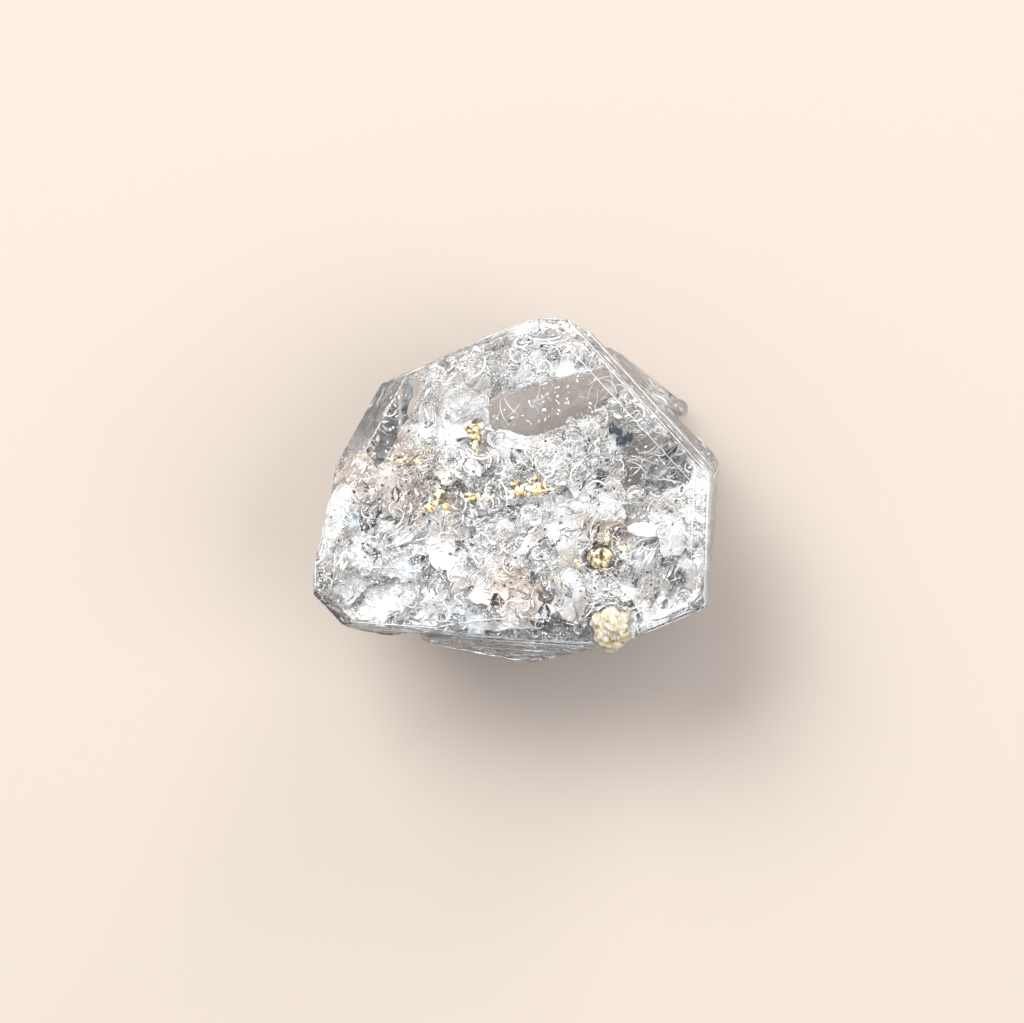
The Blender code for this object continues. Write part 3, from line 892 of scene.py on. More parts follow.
@dataclass(frozen=True)
class FlakeShape:
    """The shape of one flake: a bent spindle, of four-sided rings between two tips.

    Its middle line is an arc of a circle. Its half width and half thickness fall off towards the tips
    as the cosine of the share of its length, and rim says how flat its edge is against its ridge.
    """

    length: tuple[float, float]
    slimness: tuple[float, float]
    flatness: float
    bend: tuple[float, float] = (0.0, 60.0)
    rings: int = 3

    def points(self, places: np.ndarray, facing: np.ndarray, draw: np.random.Generator,
               along: np.ndarray | None = None) -> np.ndarray:
        """The corners of flakes at the given places.

        The middle line at share s of the length L and bend b is at L sin(b s) / b along the flake and
        at L (1 - cos(b s)) / b across it.

        Args:
            places: The middle of each flake.
            facing: The direction that each flake is flat to.
            draw: Random numbers.
            along: The direction in which each flake is long, or None for any direction.

        Returns:
            Corners by flake, ring and side: a tip, the rings and a tip.
        """
        count = len(places)
        if along is None:
            along = unit(np.cross(facing, draw.normal(size=(count, 3))))
        across = np.cross(facing, along)
        low, high = self.length
        length = low * (high / low) ** draw.uniform(0.0, 1.0, count)
        width = 0.5 * length * draw.uniform(*self.slimness, count)
        bend = np.radians(draw.uniform(*self.bend, count)) + 1e-3
        shares = np.linspace(-0.5, 0.5, self.rings + 2)
        angle = bend[:, None] * shares[None, :]
        radius = (length / bend)[:, None]
        run, rise = radius * np.sin(angle), radius * (1.0 - np.cos(angle))
        rise = rise - rise.mean(axis=1, keepdims=True)
        along, across = along[:, None, :], across[:, None, :]
        middle = places[:, None, :] + along * run[..., None] + across * rise[..., None]
        outward = across * np.cos(angle)[..., None] - along * np.sin(angle)[..., None]
        size = np.cos(np.pi * shares)
        wide = outward * (width[:, None] * size[None, :])[..., None]
        deep = facing[:, None, :] * (self.flatness * width[:, None] * size[None, :])[..., None]
        rings = np.stack([middle + wide, middle + deep, middle - wide, middle - deep], axis=2)[:, 1:-1]
        return np.concatenate([middle[:, :1], rings.reshape(count, -1, 3), middle[:, -1:]], axis=1)

    def rims(self) -> np.ndarray:
        """1 for each corner on a flake's rim and 0 for each corner on its ridges."""
        return np.array([1.0] + [1.0, 0.0, 1.0, 0.0] * self.rings + [1.0])

    def faces(self) -> np.ndarray:
        """The triangles of one flake: a fan at each tip, and bands between its rings of four corners."""
        faces = []
        last = 1 + self.rings * 4
        for side in range(4):
            after = (side + 1) % 4
            faces.append((0, 1 + side, 1 + after))
            for here in range(1, last - 4, 4):
                faces.append((here + side, here + 4 + after, here + after))
                faces.append((here + side, here + 4 + side, here + 4 + after))
            faces.append((last, last - 4 + after, last - 4 + side))
        return np.array(faces)


@dataclass
class Flecks:
    """Thousands of small curved flakes in the crystal, joined in one mesh.

    They lie in patches patch_wave mm long, between which patch_floor of them are left. Below the
    heights of far_side they lie in nests nest_wave mm long. A veil is veil_depth mm thick, and flakes
    on it keep off the faces by rim_share of their length.
    """

    name: str
    count: int
    shape: FlakeShape
    tints: tuple[Colour, ...]
    spread: Spread
    seed: int
    deepest: float = 1.6
    margin: float = 0.10
    tilt: float = 0.25
    window_share: float = 0.03
    milk_loss: float = 0.75
    gathered: float = 0.0
    patch_wave: float = 1.5
    patch_floor: float = 0.55
    nest_wave: float = 5.0
    far_side: tuple[float, float] = (3.5, 6.5)
    veil_depth: float = 0.05
    rim_share: float = 0.35

    def candidates(self, form: CrystalForm, veils: list[Veil], draw: np.random.Generator
                   ) -> tuple[np.ndarray, np.ndarray]:
        """Places for flakes and the direction that each is flat to, before any is turned down."""
        wanted = self.count
        stray = draw.normal(0.0, self.tilt, (wanted, 3))
        if self.spread is Spread.UNDER_FACES:
            places, normals = form.on_faces(wanted, draw)
            sunk = self.margin + (self.deepest - self.margin) * draw.uniform(0.0, 1.0, wanted) ** 1.5
            return places - normals * sunk[:, None], unit(normals + stray)
        which = draw.integers(0, len(veils), wanted)
        rows = np.array([(*veil.centre, *veil.normal, veil.reach, veil.bulge) for veil in veils])[which]
        centres, normals, reaches, bulges = rows[:, :3], rows[:, 3:6], rows[:, 6], rows[:, 7]
        first = unit(np.cross(normals, np.array([0.31, 0.57, 0.76])))
        second = np.cross(normals, first)
        radius = np.sqrt(draw.uniform(0.0, 1.0, wanted))
        turn = draw.uniform(0.0, 2.0 * math.pi, wanted)
        places = centres + (reaches * radius)[:, None] * (
            first * np.cos(turn)[:, None] + second * np.sin(turn)[:, None])
        height = 0.5 * bulges * radius ** 2 * reaches + draw.normal(0.0, self.veil_depth, wanted)
        places += normals * height[:, None]
        return places, unit(normals + stray)

    def kept(self, form: CrystalForm, places: np.ndarray, draw: np.random.Generator) -> np.ndarray:
        """Which places are kept: inside the crystal, few in milky zones and hardly any in the windows."""
        chance = 1.0 - (1.0 - self.window_share) * form.openness(places)
        chance = chance * (1.0 - self.milk_loss * form.milkiness(places))
        chance = chance * (1.0 - self.gathered * (1.0 - form.busyness(places)))
        patches = smooth_step(-0.5, 0.5, waves(places, self.patch_wave, self.seed + 50))
        chance = chance * (self.patch_floor + (1.0 - self.patch_floor) * patches)
        near = smooth_step(*self.far_side, places[:, 2])
        chance = chance * (near + (1.0 - near) * smooth_step(-0.4, 0.5, waves(places, self.nest_wave, 77)))
        kept = draw.uniform(0.0, 1.0, len(places)) < chance
        loose = 0.0 if self.spread is Spread.UNDER_FACES else self.rim_share * self.shape.length[1]
        kept[kept] = form.depth(places[kept]) > self.margin - 0.03 + loose
        return kept

    def chosen(self, form: CrystalForm, veils: list[Veil], draw: np.random.Generator) -> np.ndarray:
        """One round of flakes that are kept: place and direction, six numbers in a row."""
        places, facing = self.candidates(form, veils, draw)
        return np.hstack([places, facing])[self.kept(form, places, draw)]

    def build(self, form: CrystalForm, veils: list[Veil], material: bpy.types.Material) -> bpy.types.Object:
        """Makes the joined mesh of all flakes, without those that would cross a window's border."""
        draw = np.random.default_rng(self.seed)
        rows = gather(lambda: self.chosen(form, veils, draw), self.count)
        places = rows[:, :3]
        points = self.shape.points(places, rows[:, 3:], draw)
        tips = form.openness(points[:, 0]) + form.openness(points[:, -1])
        kept = form.encloses(points) & ((tips < 0.5) | (form.openness(places) > 0.5))
        places, points = places[kept], points[kept]
        tints = picked(self.tints, len(points), draw) * draw.uniform(0.9, 1.0, (len(points), 1))
        tints = warmed(tints, form.within(WARM_ZONES, places, 0.8))
        return inclusion(self.name, points, self.shape.faces(), tints, self.shape.rims(), material)


@dataclass
class PaintedEdgeHighlights:
    """Painted highlights: thin pale needles just inside the crystal's outer edges, which stand in for the
    bright lines that light draws along a clear crystal's edges, joined in one mesh.

    Each is a three-sided needle laid just inside a stretch of edge between two faces of the solid.
    """

    name: str
    seed: int
    shortest: float = 0.25
    least_turn: float = 24.0
    sunk: float = 0.05
    width: float = 0.045
    least_facing: float = -0.12
    least_wave: float = -0.30
    # The needles' pale tint is the painted highlight.
    tint: Colour = (0.86, 0.88, 0.90)

    def stretches(self, form: CrystalForm) -> tuple[np.ndarray, np.ndarray]:
        """The two ends of each convex edge that turns enough, and the outward direction there."""
        block = merged_block(form.node.data)
        least, shortest = math.radians(self.least_turn), self.shortest * MM
        rows = []
        for edge in block.edges:
            if edge.is_convex and edge.calc_face_angle(0.0) > least and edge.calc_length() > shortest:
                outward = edge.link_faces[0].normal + edge.link_faces[1].normal
                rows.append((*edge.verts[0].co, *edge.verts[1].co, *outward))
        block.free()
        rows = np.array(rows)
        return rows[:, :6].reshape(-1, 2, 3) / MM, unit(rows[:, 6:])

    def build(self, form: CrystalForm, material: bpy.types.Material) -> bpy.types.Object:
        """Makes the needles that face the camera, left out where a wave field is low, to break the lines."""
        ends, outward = self.stretches(form)
        kept = waves(ends.mean(axis=1), 1.2, self.seed) > self.least_wave
        kept &= outward @ np.array(form.view.back) > self.least_facing
        ends, outward = ends[kept], outward[kept]
        along = unit(ends[:, 1] - ends[:, 0])
        across = np.cross(outward, along)
        core = ends - outward[:, None, :] * self.sunk
        size = 0.5 * self.width
        sides = np.stack([across * size, -across * size, -outward * size], axis=1)
        points = (core[:, :, None, :] + sides[:, None, :, :]).reshape(-1, 6, 3)
        faces = np.array([(0, 2, 1), (3, 4, 5), (0, 1, 4), (0, 4, 3), (1, 2, 5), (1, 5, 4), (2, 0, 3),
                          (2, 3, 5)])
        return inclusion(self.name, points, faces, np.array([self.tint]), np.zeros(6), material)


@dataclass
class VeilSheets:
    """Healed fractures just below the upper faces, seen as smooth pale sheets with uneven rims.

    Each sheet is star-shaped: along every direction from its middle it reaches as far as it wants to,
    or until it meets a window or comes within margin mm of a face. Lengths are in mm, and swells are
    the heights and lengths of the waves in it.
    """

    name: str
    count: int
    seed: int
    reach: tuple[float, float] = (1.2, 3.2)
    sunk: tuple[float, float] = (0.8, 2.2)
    tilt: float = 0.16
    spokes: int = 48
    rings: int = 8
    thickness: float = 0.03
    margin: float = 0.22
    tries: int = 40
    swells: tuple[tuple[float, float], ...] = ((0.10, 1.3), (0.04, 0.5))
    pale: Colour = (0.72, 0.75, 0.79)
    deep: Colour = (0.44, 0.41, 0.39)
    spots: tuple[Place, ...] = ()

    def middles(self, form: CrystalForm, draw: np.random.Generator) -> np.ndarray:
        """Where the sheets lie: at the given spots, or else anywhere in the crystal but in a window."""
        anywhere = draw.uniform(form.low[:2], form.high[:2] + 1.0, (self.count * 6, 2))
        seen = np.array(self.spots) if self.spots else anywhere
        places = form.view.sunk_from(seen, draw.uniform(*self.sunk, len(seen)), form.high[2])
        open_room = (form.openness(places) < 0.5) & (form.depth(places) > 0.4)
        return places[open_room][:self.count]

    def reaches(self, form: CrystalForm, middles: np.ndarray, ways: np.ndarray, draw: np.random.Generator
                ) -> np.ndarray:
        """How far each sheet reaches along each of its directions, tried step by step."""
        least = 0.05
        steps = np.linspace(least, 1.0, self.tries)
        wanted = draw.uniform(*self.reach, (len(middles), 1)) * np.ones((1, self.spokes))
        rims = middles[:, None, :] + ways * wanted[..., None]
        wanted = wanted * (0.75 + 0.35 * waves(rims.reshape(-1, 3), 1.6, 71).reshape(wanted.shape))
        tried = middles[:, None, None, :] + (ways * wanted[..., None])[:, :, None, :] * steps[:, None]
        flat = tried.reshape(-1, 3)
        free = (form.openness(flat) < 0.5) & (form.depth(flat) > self.margin)
        free = np.cumprod(free.reshape(tried.shape[:3]), axis=2)
        return wanted * np.maximum(free.sum(axis=2) / len(steps), least)

    def sides(self, middles: np.ndarray, facing: np.ndarray, ways: np.ndarray, reach: np.ndarray
              ) -> np.ndarray:
        """The corners of the sheets' upper sides, followed by those of their lower sides.

        A sheet's height above its plane is a sum of two wave fields, and its upper and lower side lie
        apart by the thickness times 1 - s^2 at share s of its reach, so that they meet in its rim.
        """
        shares = np.sqrt(np.linspace(0.0, 1.0, self.rings + 1))[1:]
        plane = middles[:, None, None, :] + (ways * reach[..., None])[:, None] * shares[:, None, None]
        plane = np.concatenate([middles[:, None, :], plane.reshape(len(middles), -1, 3)], axis=1)
        share = np.concatenate([[0.0], np.repeat(shares, self.spokes)])
        flat = plane.reshape(-1, 3)
        height = sum(high * waves(flat, long, 72 + index) for index, (high, long) in enumerate(self.swells))
        height = height.reshape(plane.shape[:2])
        apart = self.thickness * (1.0 - share ** 2)
        inner = len(share) - self.spokes
        upper = plane + facing[:, None, :] * (height + apart)[..., None]
        lower = plane[:, :inner] + facing[:, None, :] * (height - apart)[:, :inner, None]
        return np.concatenate([upper, lower], axis=1)

    def colours(self, form: CrystalForm, places: np.ndarray) -> np.ndarray:
        """Pale and deep patches that run into one another, warmer in the warm zones."""
        blend = smooth_step(-0.6, 0.5, waves(places, 2.4, 74) + 0.5 * waves(places, 0.9, 75))[:, None]
        tints = np.array(self.deep) * (1.0 - blend) + np.array(self.pale) * blend
        warmth = form.softened(lambda spots: form.within(WARM_ZONES, spots, 0.6), places, 0.9)
        return warmed(tints, smooth_step(0.0, 1.0, warmth))

    def build(self, form: CrystalForm, material: bpy.types.Material) -> bpy.types.Object:
        """Makes the joined mesh of all sheets."""
        draw = np.random.default_rng(self.seed)
        middles = self.middles(form, draw)
        facing = unit(LEVEL_UP + draw.normal(0.0, self.tilt, middles.shape))
        first = unit(np.cross(facing, np.array([0.3, 0.9, 0.1])))
        second = np.cross(facing, first)
        turns = np.linspace(0.0, 2.0 * math.pi, self.spokes, endpoint=False)
        ways = first[:, None, :] * np.cos(turns)[:, None] + second[:, None, :] * np.sin(turns)[:, None]
        points = self.sides(middles, facing, ways, self.reaches(form, middles, ways, draw))
        tints = self.colours(form, points.reshape(-1, 3))
        item = inclusion(self.name, points, self.faces(), tints, np.zeros(points.shape[1]), material)
        item.data.shade_smooth()
        return item

    def faces(self) -> np.ndarray:
        """The triangles of one sheet: a fan and bands of cells above, and the same turned over below."""
        spokes = np.arange(self.spokes)
        after = (spokes + 1) % self.spokes
        last = self.rings - 1
        below = 1 + self.rings * self.spokes
        made = []
        for start, turned in ((0, False), (below, True)):
            rings = [start + 1 + ring * self.spokes for ring in range(last)] + [1 + last * self.spokes]
            parts = [np.stack([np.full(self.spokes, start), rings[0] + spokes, rings[0] + after], axis=1)]
            for near, far in zip(rings[:-1], rings[1:]):
                parts.append(np.stack([near + spokes, far + spokes, far + after], axis=1))
                parts.append(np.stack([near + spokes, far + after, near + after], axis=1))
            side = np.concatenate(parts)
            made.append(side[:, ::-1] if turned else side)
        return np.concatenate(made)


@dataclass
class Dust:
    """Dust so fine that it looks like a cloud: four-sided specks below the flakes.

    size and sunk are the specks' least and greatest size and depth in mm. elsewhere is how likely they
    are outside the milky zones, where they lie in patches patch_wave mm long. patch_floor of them are
    left between the patches.
    """

    name: str
    count: int
    size: tuple[float, float]
    seed: int
    sunk: tuple[float, float]
    elsewhere: float
    pale: Colour = (0.82, 0.84, 0.86)
    deep: Colour = (0.38, 0.33, 0.29)
    patch_wave: float = 2.6
    patch_floor: float = 0.35
    margin: float = 0.22

    def places(self, form: CrystalForm, draw: np.random.Generator) -> np.ndarray:
        """One round of specks: all in the milky zones, a share of them elsewhere, none in the windows."""
        shallow, bottom = self.sunk
        seen = draw.uniform(form.low[:2], form.high[:2] + 1.0, (self.count, 2))
        sunk = shallow + (bottom - shallow) * draw.uniform(0.0, 1.0, self.count) ** 1.4
        places = form.view.sunk_from(seen, sunk, form.high[2])
        tall = places * np.array([1.0, 1.0, 0.4])
        patches = smooth_step(-0.6, 0.4, waves(tall, self.patch_wave, 63))
        patches = self.patch_floor + (1.0 - self.patch_floor) * patches
        chance = np.maximum(form.milkiness(places), self.elsewhere * patches)
        places = places[draw.uniform(0.0, 1.0, self.count) < chance * (form.openness(places) < 0.5)]
        return places[form.depth(places) > self.margin]

    def tints(self, form: CrystalForm, places: np.ndarray) -> np.ndarray:
        """Pale and deep patches about a mm across, warmer in the warm zones, all pale in the milky ones."""
        share = smooth_step(-0.6, 0.5, waves(places, 2.2, 61) + 0.6 * waves(places, 0.8, 62))
        share = np.maximum(share, 0.8 * form.milkiness(places))[:, None]
        tints = np.array(self.deep) * (1.0 - share) + np.array(self.pale) * share
        return warmed(tints, form.within(WARM_ZONES, places, 0.8))

    def build(self, form: CrystalForm, material: bpy.types.Material) -> bpy.types.Object:
        """Makes the joined mesh of all specks."""
        draw = np.random.default_rng(self.seed)
        places = gather(lambda: self.places(form, draw), self.count, 8)
        count = len(places)
        ways = unit(np.array([(1.0, 1.0, 1.0), (1.0, -1.0, -1.0), (-1.0, 1.0, -1.0), (-1.0, -1.0, 1.0)]))
        sizes = 0.6 * draw.uniform(*self.size, (count, 1, 1))
        points = places[:, None, :] + ways[None] * sizes * draw.uniform(0.7, 1.0, (count, 4, 1))
        faces = np.array([(0, 1, 2), (0, 2, 3), (0, 3, 1), (1, 3, 2)])
        return inclusion(self.name, points, faces, self.tints(form, places), np.zeros(4), material)


@dataclass(frozen=True)
class Crumb:
    """The shape of one crumb: twenty faces between twelve corners, each pushed in or out."""

    size: tuple[float, float]
    unevenness: float = 0.25

    def points(self, places: np.ndarray, draw: np.random.Generator) -> np.ndarray:
        """The corners of crumbs at the given places, by crumb and corner."""
        golden = 0.5 * (1.0 + math.sqrt(5.0))
        ways = np.array([(-1, golden, 0), (1, golden, 0), (-1, -golden, 0), (1, -golden, 0), (0, -1, golden),
                         (0, 1, golden), (0, -1, -golden), (0, 1, -golden), (golden, 0, -1), (golden, 0, 1),
                         (-golden, 0, -1), (-golden, 0, 1)])
        ways = ways / math.hypot(1.0, golden)
        count = len(places)
        frames = np.linalg.qr(draw.normal(size=(count, 3, 3)))[0]
        frames *= np.sign(np.linalg.det(frames))[:, None, None]
        reach = 0.5 * draw.uniform(*self.size, (count, 1, 1)) * draw.uniform(0.6, 1.0, (count, 1, 3))
        shapes = ways[None] * draw.uniform(1.0 - self.unevenness, 1.0, (count, 12, 1)) * reach
        return places[:, None, :] + shapes @ frames.transpose(0, 2, 1)

    @staticmethod
    def faces() -> np.ndarray:
        """The twenty faces, counterclockwise seen from outside."""
        return np.array([(0, 11, 5), (0, 5, 1), (0, 1, 7), (0, 7, 10), (0, 10, 11), (1, 5, 9), (5, 11, 4),
                         (11, 10, 2), (10, 7, 6), (7, 1, 8), (3, 9, 4), (3, 4, 2), (3, 2, 6), (3, 6, 8),
                         (3, 8, 9), (4, 9, 5), (2, 4, 11), (6, 2, 10), (8, 6, 7), (9, 8, 1)])


@dataclass(frozen=True)
class Nest:
    """A small group of crumbs or specks: where it is seen on the upper face, how deep, how wide, how many."""

    seen: Place
    sunk: float
    reach: tuple[float, float, float]
    count: int


def nest_places(nests: tuple[Nest, ...], form: CrystalForm, draw: np.random.Generator) -> np.ndarray:
    """Places in each nest, spread round its middle as far as its reach along each axis."""
    spots = [form.view.sunk_from(np.array([nest.seen]), np.array([nest.sunk]), form.high[2])
             + draw.normal(size=(nest.count, 3)) * np.array(nest.reach) for nest in nests]
    return np.concatenate(spots)


@dataclass
class Crumbs:
    """Crumbs in nests, joined in one mesh."""

    name: str
    nests: tuple[Nest, ...]
    crumb: Crumb
    tints: tuple[Colour, ...]
    seed: int
    margin: float = 0.06

    def build(self, form: CrystalForm, material: bpy.types.Material) -> bpy.types.Object:
        """Makes the joined mesh of all crumbs."""
        draw = np.random.default_rng(self.seed)
        places = nest_places(self.nests, form, draw)
        places = places[form.depth(places) > self.margin + 0.4 * self.crumb.size[1]]
        points = self.crumb.points(places, draw)
        tints = picked(self.tints, len(points), draw)
        rims = draw.uniform(0.2, 1.0, len(points) * points.shape[1])
        return inclusion(self.name, points, self.crumb.faces(), tints, rims, material)


@dataclass
class NestedFlakes:
    """Flakes or threads in nests, joined in one mesh."""

    name: str
    nests: tuple[Nest, ...]
    shape: FlakeShape
    tints: tuple[Colour, ...]
    seed: int
    margin: float = 0.10
    tilt: float = 0.15

    def build(self, form: CrystalForm, material: bpy.types.Material) -> bpy.types.Object:
        """Makes the joined mesh of all flakes, which lie nearly level."""
        draw = np.random.default_rng(self.seed)
        places = nest_places(self.nests, form, draw)
        places = places[form.depth(places) > self.margin]
        facing = unit(LEVEL_UP + draw.normal(0.0, self.tilt, places.shape))
        points = self.shape.points(places, facing, draw)
        points = points[form.encloses(points)]
        tints = picked(self.tints, len(points), draw)
        return inclusion(self.name, points, self.shape.faces(), tints, self.shape.rims(), material)


@dataclass(frozen=True)
class LineField:
    """A patch of parallel slivers: middle as seen on the upper face, depth, heading, rows and sizes."""

    seen: Place
    sunk: float
    heading: float
    rows: int
    spacing: float
    length: float
    width: float
    tint: Colour
    bend: float = 6.0
    stray: float = 2.0


@dataclass
class LineFields:
    """Patches of parallel slivers, such as striped dark platelets, and pale and blue slivers that are painted
    glints, joined in one mesh.
    """

    name: str
    patches: tuple[LineField, ...]
    seed: int

    def build(self, form: CrystalForm, material: bpy.types.Material) -> bpy.types.Object:
        """Makes the joined mesh of all slivers."""
        draw = np.random.default_rng(self.seed)
        parts, shades = [], []
        shape = FlakeShape((1.0, 1.0), (1.0, 1.0), 0.3, rings=7)
        for patch in self.patches:
            along = heading_lean(patch.heading, 0.0)
            across = heading_lean(patch.heading + 90.0, 0.0)
            rows = np.arange(patch.rows) - 0.5 * (patch.rows - 1)
            middle = form.view.sunk_from(np.array([patch.seen]), np.array([patch.sunk]), form.high[2])[0]
            places = (middle + across * (rows * patch.spacing)[:, None]
                      + along * draw.uniform(-0.15, 0.15, (patch.rows, 1)) * patch.length)
            up = np.tile(LEVEL_UP, (patch.rows, 1))
            shapes = replace(shape, length=(0.6 * patch.length, patch.length),
                             slimness=(0.9 * patch.width / patch.length, 1.1 * patch.width / patch.length),
                             bend=(0.7 * patch.bend, patch.bend))
            lines = unit(along + across * np.radians(draw.normal(0.0, patch.stray, (patch.rows, 1))))
            parts.append(shapes.points(places, up, draw, lines))
            shades.append(np.array(patch.tint) * draw.uniform(0.7, 1.3, (patch.rows, 1)))
        points = np.concatenate(parts)
        kept = form.encloses(points)
        tints = np.concatenate(shades)[kept]
        return inclusion(self.name, points[kept], shape.faces(), tints, shape.rims(), material)


@dataclass
class RockLump:
    """A crumbly lump that stands for one of the part's small solids: finer, and grown against the crystal."""

    node: bpy.types.Object
    name: str
    slot: str
    growth: float
    bump: float
    bump_size: float
    seed: int
    cuts: int = 3
    crease: float = 35.0

    @staticmethod
    def crumbs(points: np.ndarray, size: float, seed: int) -> np.ndarray:
        """Rounded crumbs: 1 - 2|w| for a wave field w, so that they meet in narrow creases."""
        return 1.0 - 2.0 * np.abs(waves(points, size, seed))

    def build(self, material: bpy.types.Material) -> bpy.types.Object:
        """Makes the lump: its solid's faces are divided, and raised by large crumbs and small ones."""
        block = merged_block(self.node.data)
        bmesh.ops.subdivide_edges(block, edges=block.edges[:], cuts=self.cuts, use_grid_fill=True)
        mesh = triangle_mesh(self.name, block)
        points = corner_array(mesh)
        crumbs = (self.crumbs(points, self.bump_size, self.seed)
                  + 0.5 * self.crumbs(points, 0.45 * self.bump_size, self.seed + 1))
        raise_corners(mesh, points, self.growth + self.bump * crumbs, self.crease)
        item = linked(self.name, mesh)
        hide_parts(self.node.name)
        return finish_piece(item, material)


@dataclass(frozen=True)
class Softbox:
    """A large square lamp that shines towards the crystal."""

    name: str
    heading: float
    lean: float
    distance: float
    side: float
    power: float
    colour: Colour = (1.0, 1.0, 1.0)

    def add(self) -> None:
        """Puts the lamp into the scene."""
        data = bpy.data.lights.new(self.name, "AREA")
        data.shape = "SQUARE"
        data.size = self.side
        data.energy = self.power
        data.color = self.colour
        way = Vector(heading_lean(self.heading, self.lean))
        lamp = linked(self.name, data)
        lamp.location = way * self.distance
        lamp.rotation_euler = way.to_track_quat("Z", "Y").to_euler()


@dataclass
class Studio:
    """The plain pale floor, the soft lamps and the even surroundings.

    floor_reach is in metres and floor_gap in mm. The sky's share of the colour goes from one of
    glow_shares to the other as the height goes from one of glow_heights to the other.
    """

    floor_colour: Colour = (0.305, 0.262, 0.228)
    floor_roughness: float = 0.85
    floor_reach: float = 1.2
    floor_gap: float = 0.02
    horizon: Colour = (0.10, 0.10, 0.11)
    sky: Colour = (0.92, 0.95, 1.0)
    glow_heights: tuple[float, float] = (-0.05, 0.75)
    glow_shares: tuple[float, float] = (0.38, 1.0)
    strength: float = 1.15
    lamps: tuple[Softbox, ...] = (
        Softbox("key", 125.0, 50.0, 0.62, 0.46, 7.6, (1.0, 0.985, 0.96)),
        Softbox("fill", -20.0, 40.0, 0.70, 0.45, 4.6, (0.96, 0.98, 1.0)),
        Softbox("rim", 60.0, 22.0, 0.60, 0.22, 2.2),
    )

    def add_floor(self) -> None:
        """A large square just under the resting face."""
        square = np.array([(-1.0, -1.0), (1.0, -1.0), (1.0, 1.0), (-1.0, 1.0)]) * self.floor_reach / MM
        corners = np.column_stack([square, np.full(len(square), -self.floor_gap)])
        floor = mesh_object("floor", corners, np.array([(0, 1, 2), (0, 2, 3)]))
        material, _, shader = new_material("floor_paper")
        shader.inputs["Base Color"].default_value = (*self.floor_colour, 1.0)
        shader.inputs["Roughness"].default_value = self.floor_roughness
        floor.data.materials.append(material)

    def add_surroundings(self) -> None:
        """Even soft light from above, darker towards the horizon."""
        world = bpy.data.worlds.new("studio")
        bpy.context.scene.world = world
        world.use_nodes = True
        wiring = Wiring(world.node_tree)
        direction = wiring.node("TexCoord").outputs["Generated"]
        height = wiring.node("SeparateXYZ", Vector=direction).outputs["Z"]
        glow = wiring.ramp(height, *self.glow_heights, *self.glow_shares)
        colour = wiring.mix(glow, self.horizon, self.sky)
        background = world.node_tree.nodes["Background"]
        wiring.feed(background.inputs["Color"], colour)
        background.inputs["Strength"].default_value = self.strength

    def build(self) -> None:
        """Adds the floor, the lamps and the surroundings."""
        self.add_floor()
        self.add_surroundings()
        for lamp in self.lamps:
            lamp.add()
        bpy.context.scene.view_settings.view_transform = "Standard"
        bpy.context.scene.cycles.caustics_refractive = False


WHITES: tuple[Colour, ...] = ((0.97, 0.97, 0.97), (0.86, 0.87, 0.89), (0.92, 0.90, 0.87), (0.74, 0.73, 0.72))
# Grey tints: grey flakes in the crystal, kept dark and many as painted shade that stands in for the dark
# lines which refraction of a dark surrounding draws along the veils.
GREYS: tuple[Colour, ...] = ((0.42, 0.43, 0.45), (0.30, 0.29, 0.29), (0.52, 0.49, 0.46), (0.20, 0.20, 0.21))
SILVERS: tuple[Colour, ...] = ((0.97, 0.98, 1.0), (0.90, 0.92, 0.95))
GOLDS: tuple[Colour, ...] = ((0.92, 0.70, 0.30), (0.95, 0.82, 0.50), (0.80, 0.54, 0.20), (0.50, 0.32, 0.10),
                            (0.97, 0.90, 0.70), (0.95, 0.86, 0.62))
DARKS: tuple[Colour, ...] = ((0.03, 0.03, 0.03), (0.07, 0.05, 0.04), (0.13, 0.08, 0.05))
GOLD_NESTS = (
    Nest((-2.3, 3.5), 0.36, (0.20, 0.22, 0.05), 20),
    Nest((-2.1, 2.7), 0.36, (0.20, 0.30, 0.05), 22),
    Nest((-4.4, -0.6), 0.36, (0.17, 0.28, 0.05), 18),
    Nest((-4.9, -1.4), 0.36, (0.16, 0.18, 0.05), 12),
    Nest((-3.9, -1.5), 0.36, (0.15, 0.18, 0.05), 12),
    Nest((-2.1, -0.8), 0.36, (0.42, 0.12, 0.05), 20),
    Nest((0.5, -0.5), 0.36, (0.30, 0.25, 0.05), 34),
    Nest((1.8, -0.3), 0.36, (0.34, 0.20, 0.05), 24),
    Nest((-6.2, 1.7), 0.36, (0.45, 0.16, 0.05), 16),
    Nest((5.6, -7.9), 0.35, (0.22, 0.18, 0.05), 9),
    Nest((4.45, -4.85), 0.30, (0.20, 0.26, 0.05), 18),
    Nest((6.5, -4.25), 0.30, (0.26, 0.16, 0.05), 18),
    Nest((5.9, -3.7), 0.30, (0.20, 0.12, 0.05), 8),
    Nest((0.3, -9.1), 0.35, (0.25, 0.12, 0.05), 8),
    Nest((1.5, -9.0), 0.35, (0.20, 0.10, 0.05), 7),
)
CREAM_NESTS = (
    Nest((6.5, -7.7), 0.40, (0.70, 0.55, 0.15), 60),
    Nest((6.5, -8.3), 0.60, (0.80, 0.50, 0.20), 40),
)
CREAMS: tuple[Colour, ...] = ((0.88, 0.85, 0.68), (0.80, 0.78, 0.66), (0.90, 0.89, 0.82))
